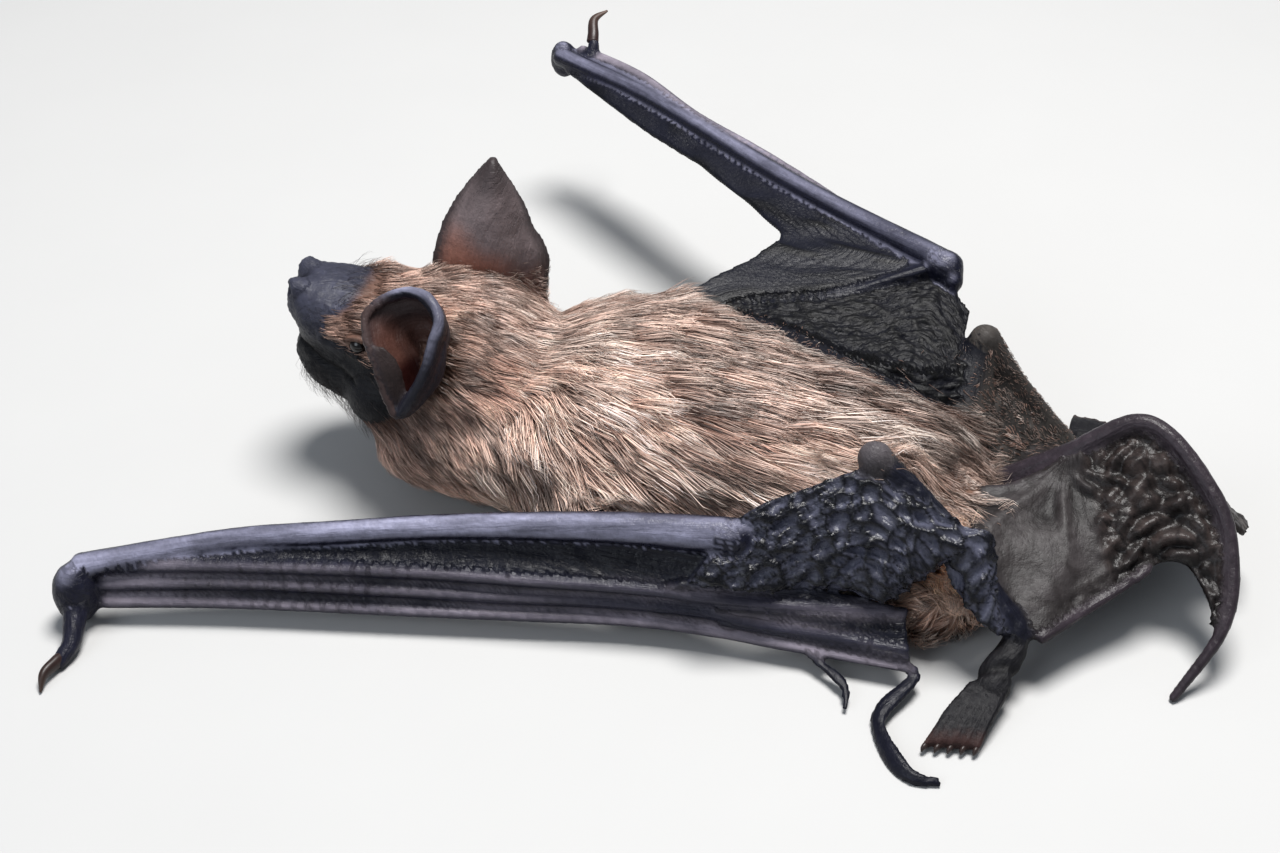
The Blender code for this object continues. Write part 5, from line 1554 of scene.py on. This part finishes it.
        # Tufts towards the edge of each lock are painted darker: painted shade in the gaps between the locks.
        tan = mix(tan, FUR_DARK * 0.7, 0.8 * self.edge)
        shade = np.exp(rng.normal(0.19, 0.31, len(spots)) + 0.9 * noise(spots[self.lock], 0.9, 173))
        tan = tan * shade[:, None]
        tip = mix(tan * 1.25, FUR_BUFF * (1 - 0.6 * painted_rear_shade)[:, None], 0.25 + 0.6 * pale)
        share = STATIONS[None, :, None]
        low = FUR_ROOT + (tan[:, None] - FUR_ROOT) * (share / TIP_START) ** 0.8
        high = tan[:, None] + (tip - tan)[:, None] * (share - TIP_START) / (1 - TIP_START)
        grown = np.where(share < TIP_START, low, high)
        # The palest hairs turn cream, not white.
        held = grown / np.maximum(grown.max(axis=2, keepdims=True) / PALEST, 1.0)
        return np.clip((held + np.minimum(grown, PALEST)) / 2, 0.004, PALEST)

    def pieces(self, name, finish, rng, thick, most=8800):
        """Builds the tufts as solid pieces, in bands from the nose to the tail."""
        order = np.argsort(self.roots[:, 1])
        colours = self.colours(rng)
        bands = np.array_split(order, math.ceil(len(order) / most))
        for k, band in enumerate(bands):
            width = thick * rng.uniform(0.75, 1.25, len(band)) * np.clip(self.length[band] / 6.0, 0.55, 1.1)
            tufts(f"{name}_{k + 1:02d}", self.path[band], self.normals[band], width, colours[band], finish)


def tufts(name, paths, normals, width, colours, finish):
    """One piece of closed three-sided tufts that taper to a point."""
    count, stations = paths.shape[:2]
    along = unit(np.gradient(paths, axis=1))
    side = unit(np.cross(along, normals[:, None]))
    over = np.cross(side, along)
    rings = []
    for k in range(stations - 1):
        for turn in (90, 210, 330):
            angle = math.radians(turn)
            reach = side[:, k] * math.cos(angle) * 1.25 + over[:, k] * math.sin(angle) * 0.85
            rings.append(paths[:, k] + reach * (width * WIDTHS[k])[:, None])
    rings.append(paths[:, -1])
    points = np.stack(rings, axis=1)
    each = points.shape[1]
    paint = np.stack([colours[:, min(k // 3, stations - 1)] for k in range(each)], axis=1)
    quads, quad_uv, caps, cap_uv = [], [], [], []
    rows = np.linspace(0.1, 1.0, stations)
    for k in range(stations - 2):
        for s in range(3):
            a, b = 3 * k + s, 3 * k + (s + 1) % 3
            quads.append((a, b, b + 3, a + 3))
            left, right, below, above = s / 3, (s + 1) / 3, rows[k], rows[k + 1]
            quad_uv.append(((left, below), (right, below), (right, above), (left, above)))
    last = 3 * (stations - 2)
    for s in range(3):
        caps.append((last + s, last + (s + 1) % 3, each - 1))
        cap_uv.append(((s / 3, rows[-2]), ((s + 1) / 3, rows[-2]), ((s + 0.5) / 3, rows[-1])))
    caps.append((2, 1, 0))
    cap_uv.append(((0.0, 0.0), (1.0, 0.0), (0.5, 0.09)))
    starts = (np.arange(count) * each)[:, None, None]
    faces = [np.vstack(quads)[None] + starts, np.vstack(caps)[None] + starts]
    faces = [group.reshape(-1, group.shape[-1]) for group in faces]
    thing = build_piece(name, points.reshape(-1, 3), faces, finish, "brown_fur", paint=paint.reshape(-1, 3))
    roots = unwrapped(paths[:, 0])
    layer = thing.data.uv_layers.new(name="OFBake")
    flat = [
        (roots[:, None, None] + np.array(corner_uv)[None] * PATCH).reshape(-1, 2)
        for corner_uv in (quad_uv, cap_uv)
    ]
    layer.data.foreach_set("uv", np.concatenate(flat).ravel())
    return thing


def unwrapped(roots):
    """Each root's place on the skin rolled flat: round the body, and along it."""
    turn = np.arctan2(roots[:, 0] - 0.8, roots[:, 2] - 7.0) / (2 * math.pi) + 0.5
    first, last = roots[:, 1].min(), roots[:, 1].max()
    along = (roots[:, 1] - first) / max(last - first, 1e-6)
    return np.column_stack([turn, along]) * 0.99 + 0.002


def build_coat(skin):
    rng = np.random.default_rng(SEED)
    tree = BVHTree.FromPolygons(skin.points.tolist(), skin.faces.tolist())
    coat = Coat(skin, tree, furriness(skin), TUFTS, rng)
    coat.path[..., 2] = np.maximum(coat.path[..., 2], COAT_FLOOR)
    finish = coat_finish()
    coat.pieces("coat", finish, rng, thick=0.048)
    # Thin dark hairs stand on the muzzle and the chin, tan ones on the fold above the eye.
    forward, _, upward = skin.head.T
    face = skin.on("skull", "cheek", "brow", "muzzle", "jaw", "lid") * bare_face(skin)
    ridge = face * (0.03 + 0.5 * fade(upward, 2.2, 3.2) * fade(forward, 12.0, 9.0) + fade(upward, -3.2, -4.6))
    ridge = ridge * fade(forward, 13.4, 12.4)
    dark = Coat(skin, tree, ridge, MUZZLE_HAIRS, rng, (1.7, 1.0), FACE_HAIR)
    dark.pieces("muzzle_hair", finish, rng, thick=0.022)
    fold = face * np.exp(-(((upward - 1.1) / 0.7) ** 2)) * fade(forward, 4.0, 5.5) * fade(forward, 11.4, 9.5)
    tan = Coat(skin, tree, fold, FOLD_HAIRS, rng, (1.5, 0.3), FUR_HEAD * 0.9)
    tan.pieces("fold_hair", finish, rng, thick=0.03)


# ---------------------------------------------------------------------------------------------
# Setting


def set_stage():
    floor = plain_mesh("floor", [(-3, -3, 0), (3, -3, 0), (3, 3, 0), (-3, 3, 0)], [(0, 1, 2, 3)])
    floor.data.materials.append(floor_finish())
    world = bpy.data.worlds.new("soft_sky")
    world.use_nodes = True
    sky = world.node_tree.nodes["Background"]
    sky.inputs["Color"].default_value = (0.82, 0.89, 1.0, 1.0)
    sky.inputs["Strength"].default_value = 0.27
    bpy.context.scene.world = world
    for name, place, size, power, colour in (
        ("overhead", (-0.06, 0.03, 0.39), 0.17, 3.0, (1.0, 0.985, 0.97)),
        ("window", (0.36, -0.2, 0.26), 0.28, 0.7, (0.86, 0.92, 1.0)),
    ):
        lamp = bpy.data.lights.new(name, "AREA")
        lamp.shape = "DISK"
        lamp.size, lamp.energy, lamp.color = size, power, colour
        holder = placed(name, lamp)
        holder.location = place
        holder.rotation_euler = (-Vector(place)).to_track_quat("-Z", "Y").to_euler()
    bpy.context.scene.view_settings.view_transform = "Standard"


def set_camera(azimuth=105.0, elevation=37.0, distance=150.0, target=(3.0, 2.0, 8.0), lens=51.47):
    turn, climb = math.radians(azimuth), math.radians(elevation)
    back = Vector((math.sin(turn) * math.cos(climb), -math.cos(turn) * math.cos(climb), math.sin(climb)))
    lens_box = bpy.data.cameras.new("camera")
    lens_box.lens, lens_box.sensor_width = lens, 36.0
    lens_box.clip_start, lens_box.clip_end = 0.005, 5.0
    camera = placed("camera", lens_box)
    camera.location = (Vector(target) + back * distance) * MM
    camera.rotation_euler = back.to_track_quat("Z", "Y").to_euler()
    bpy.context.scene.camera = camera


def build():
    set_camera()
    set_stage()
    skin = join_forms()
    shape_relief(skin)
    build_skin(skin)
    build_eyes()
    build_claws()
    build_coat(skin)


build()
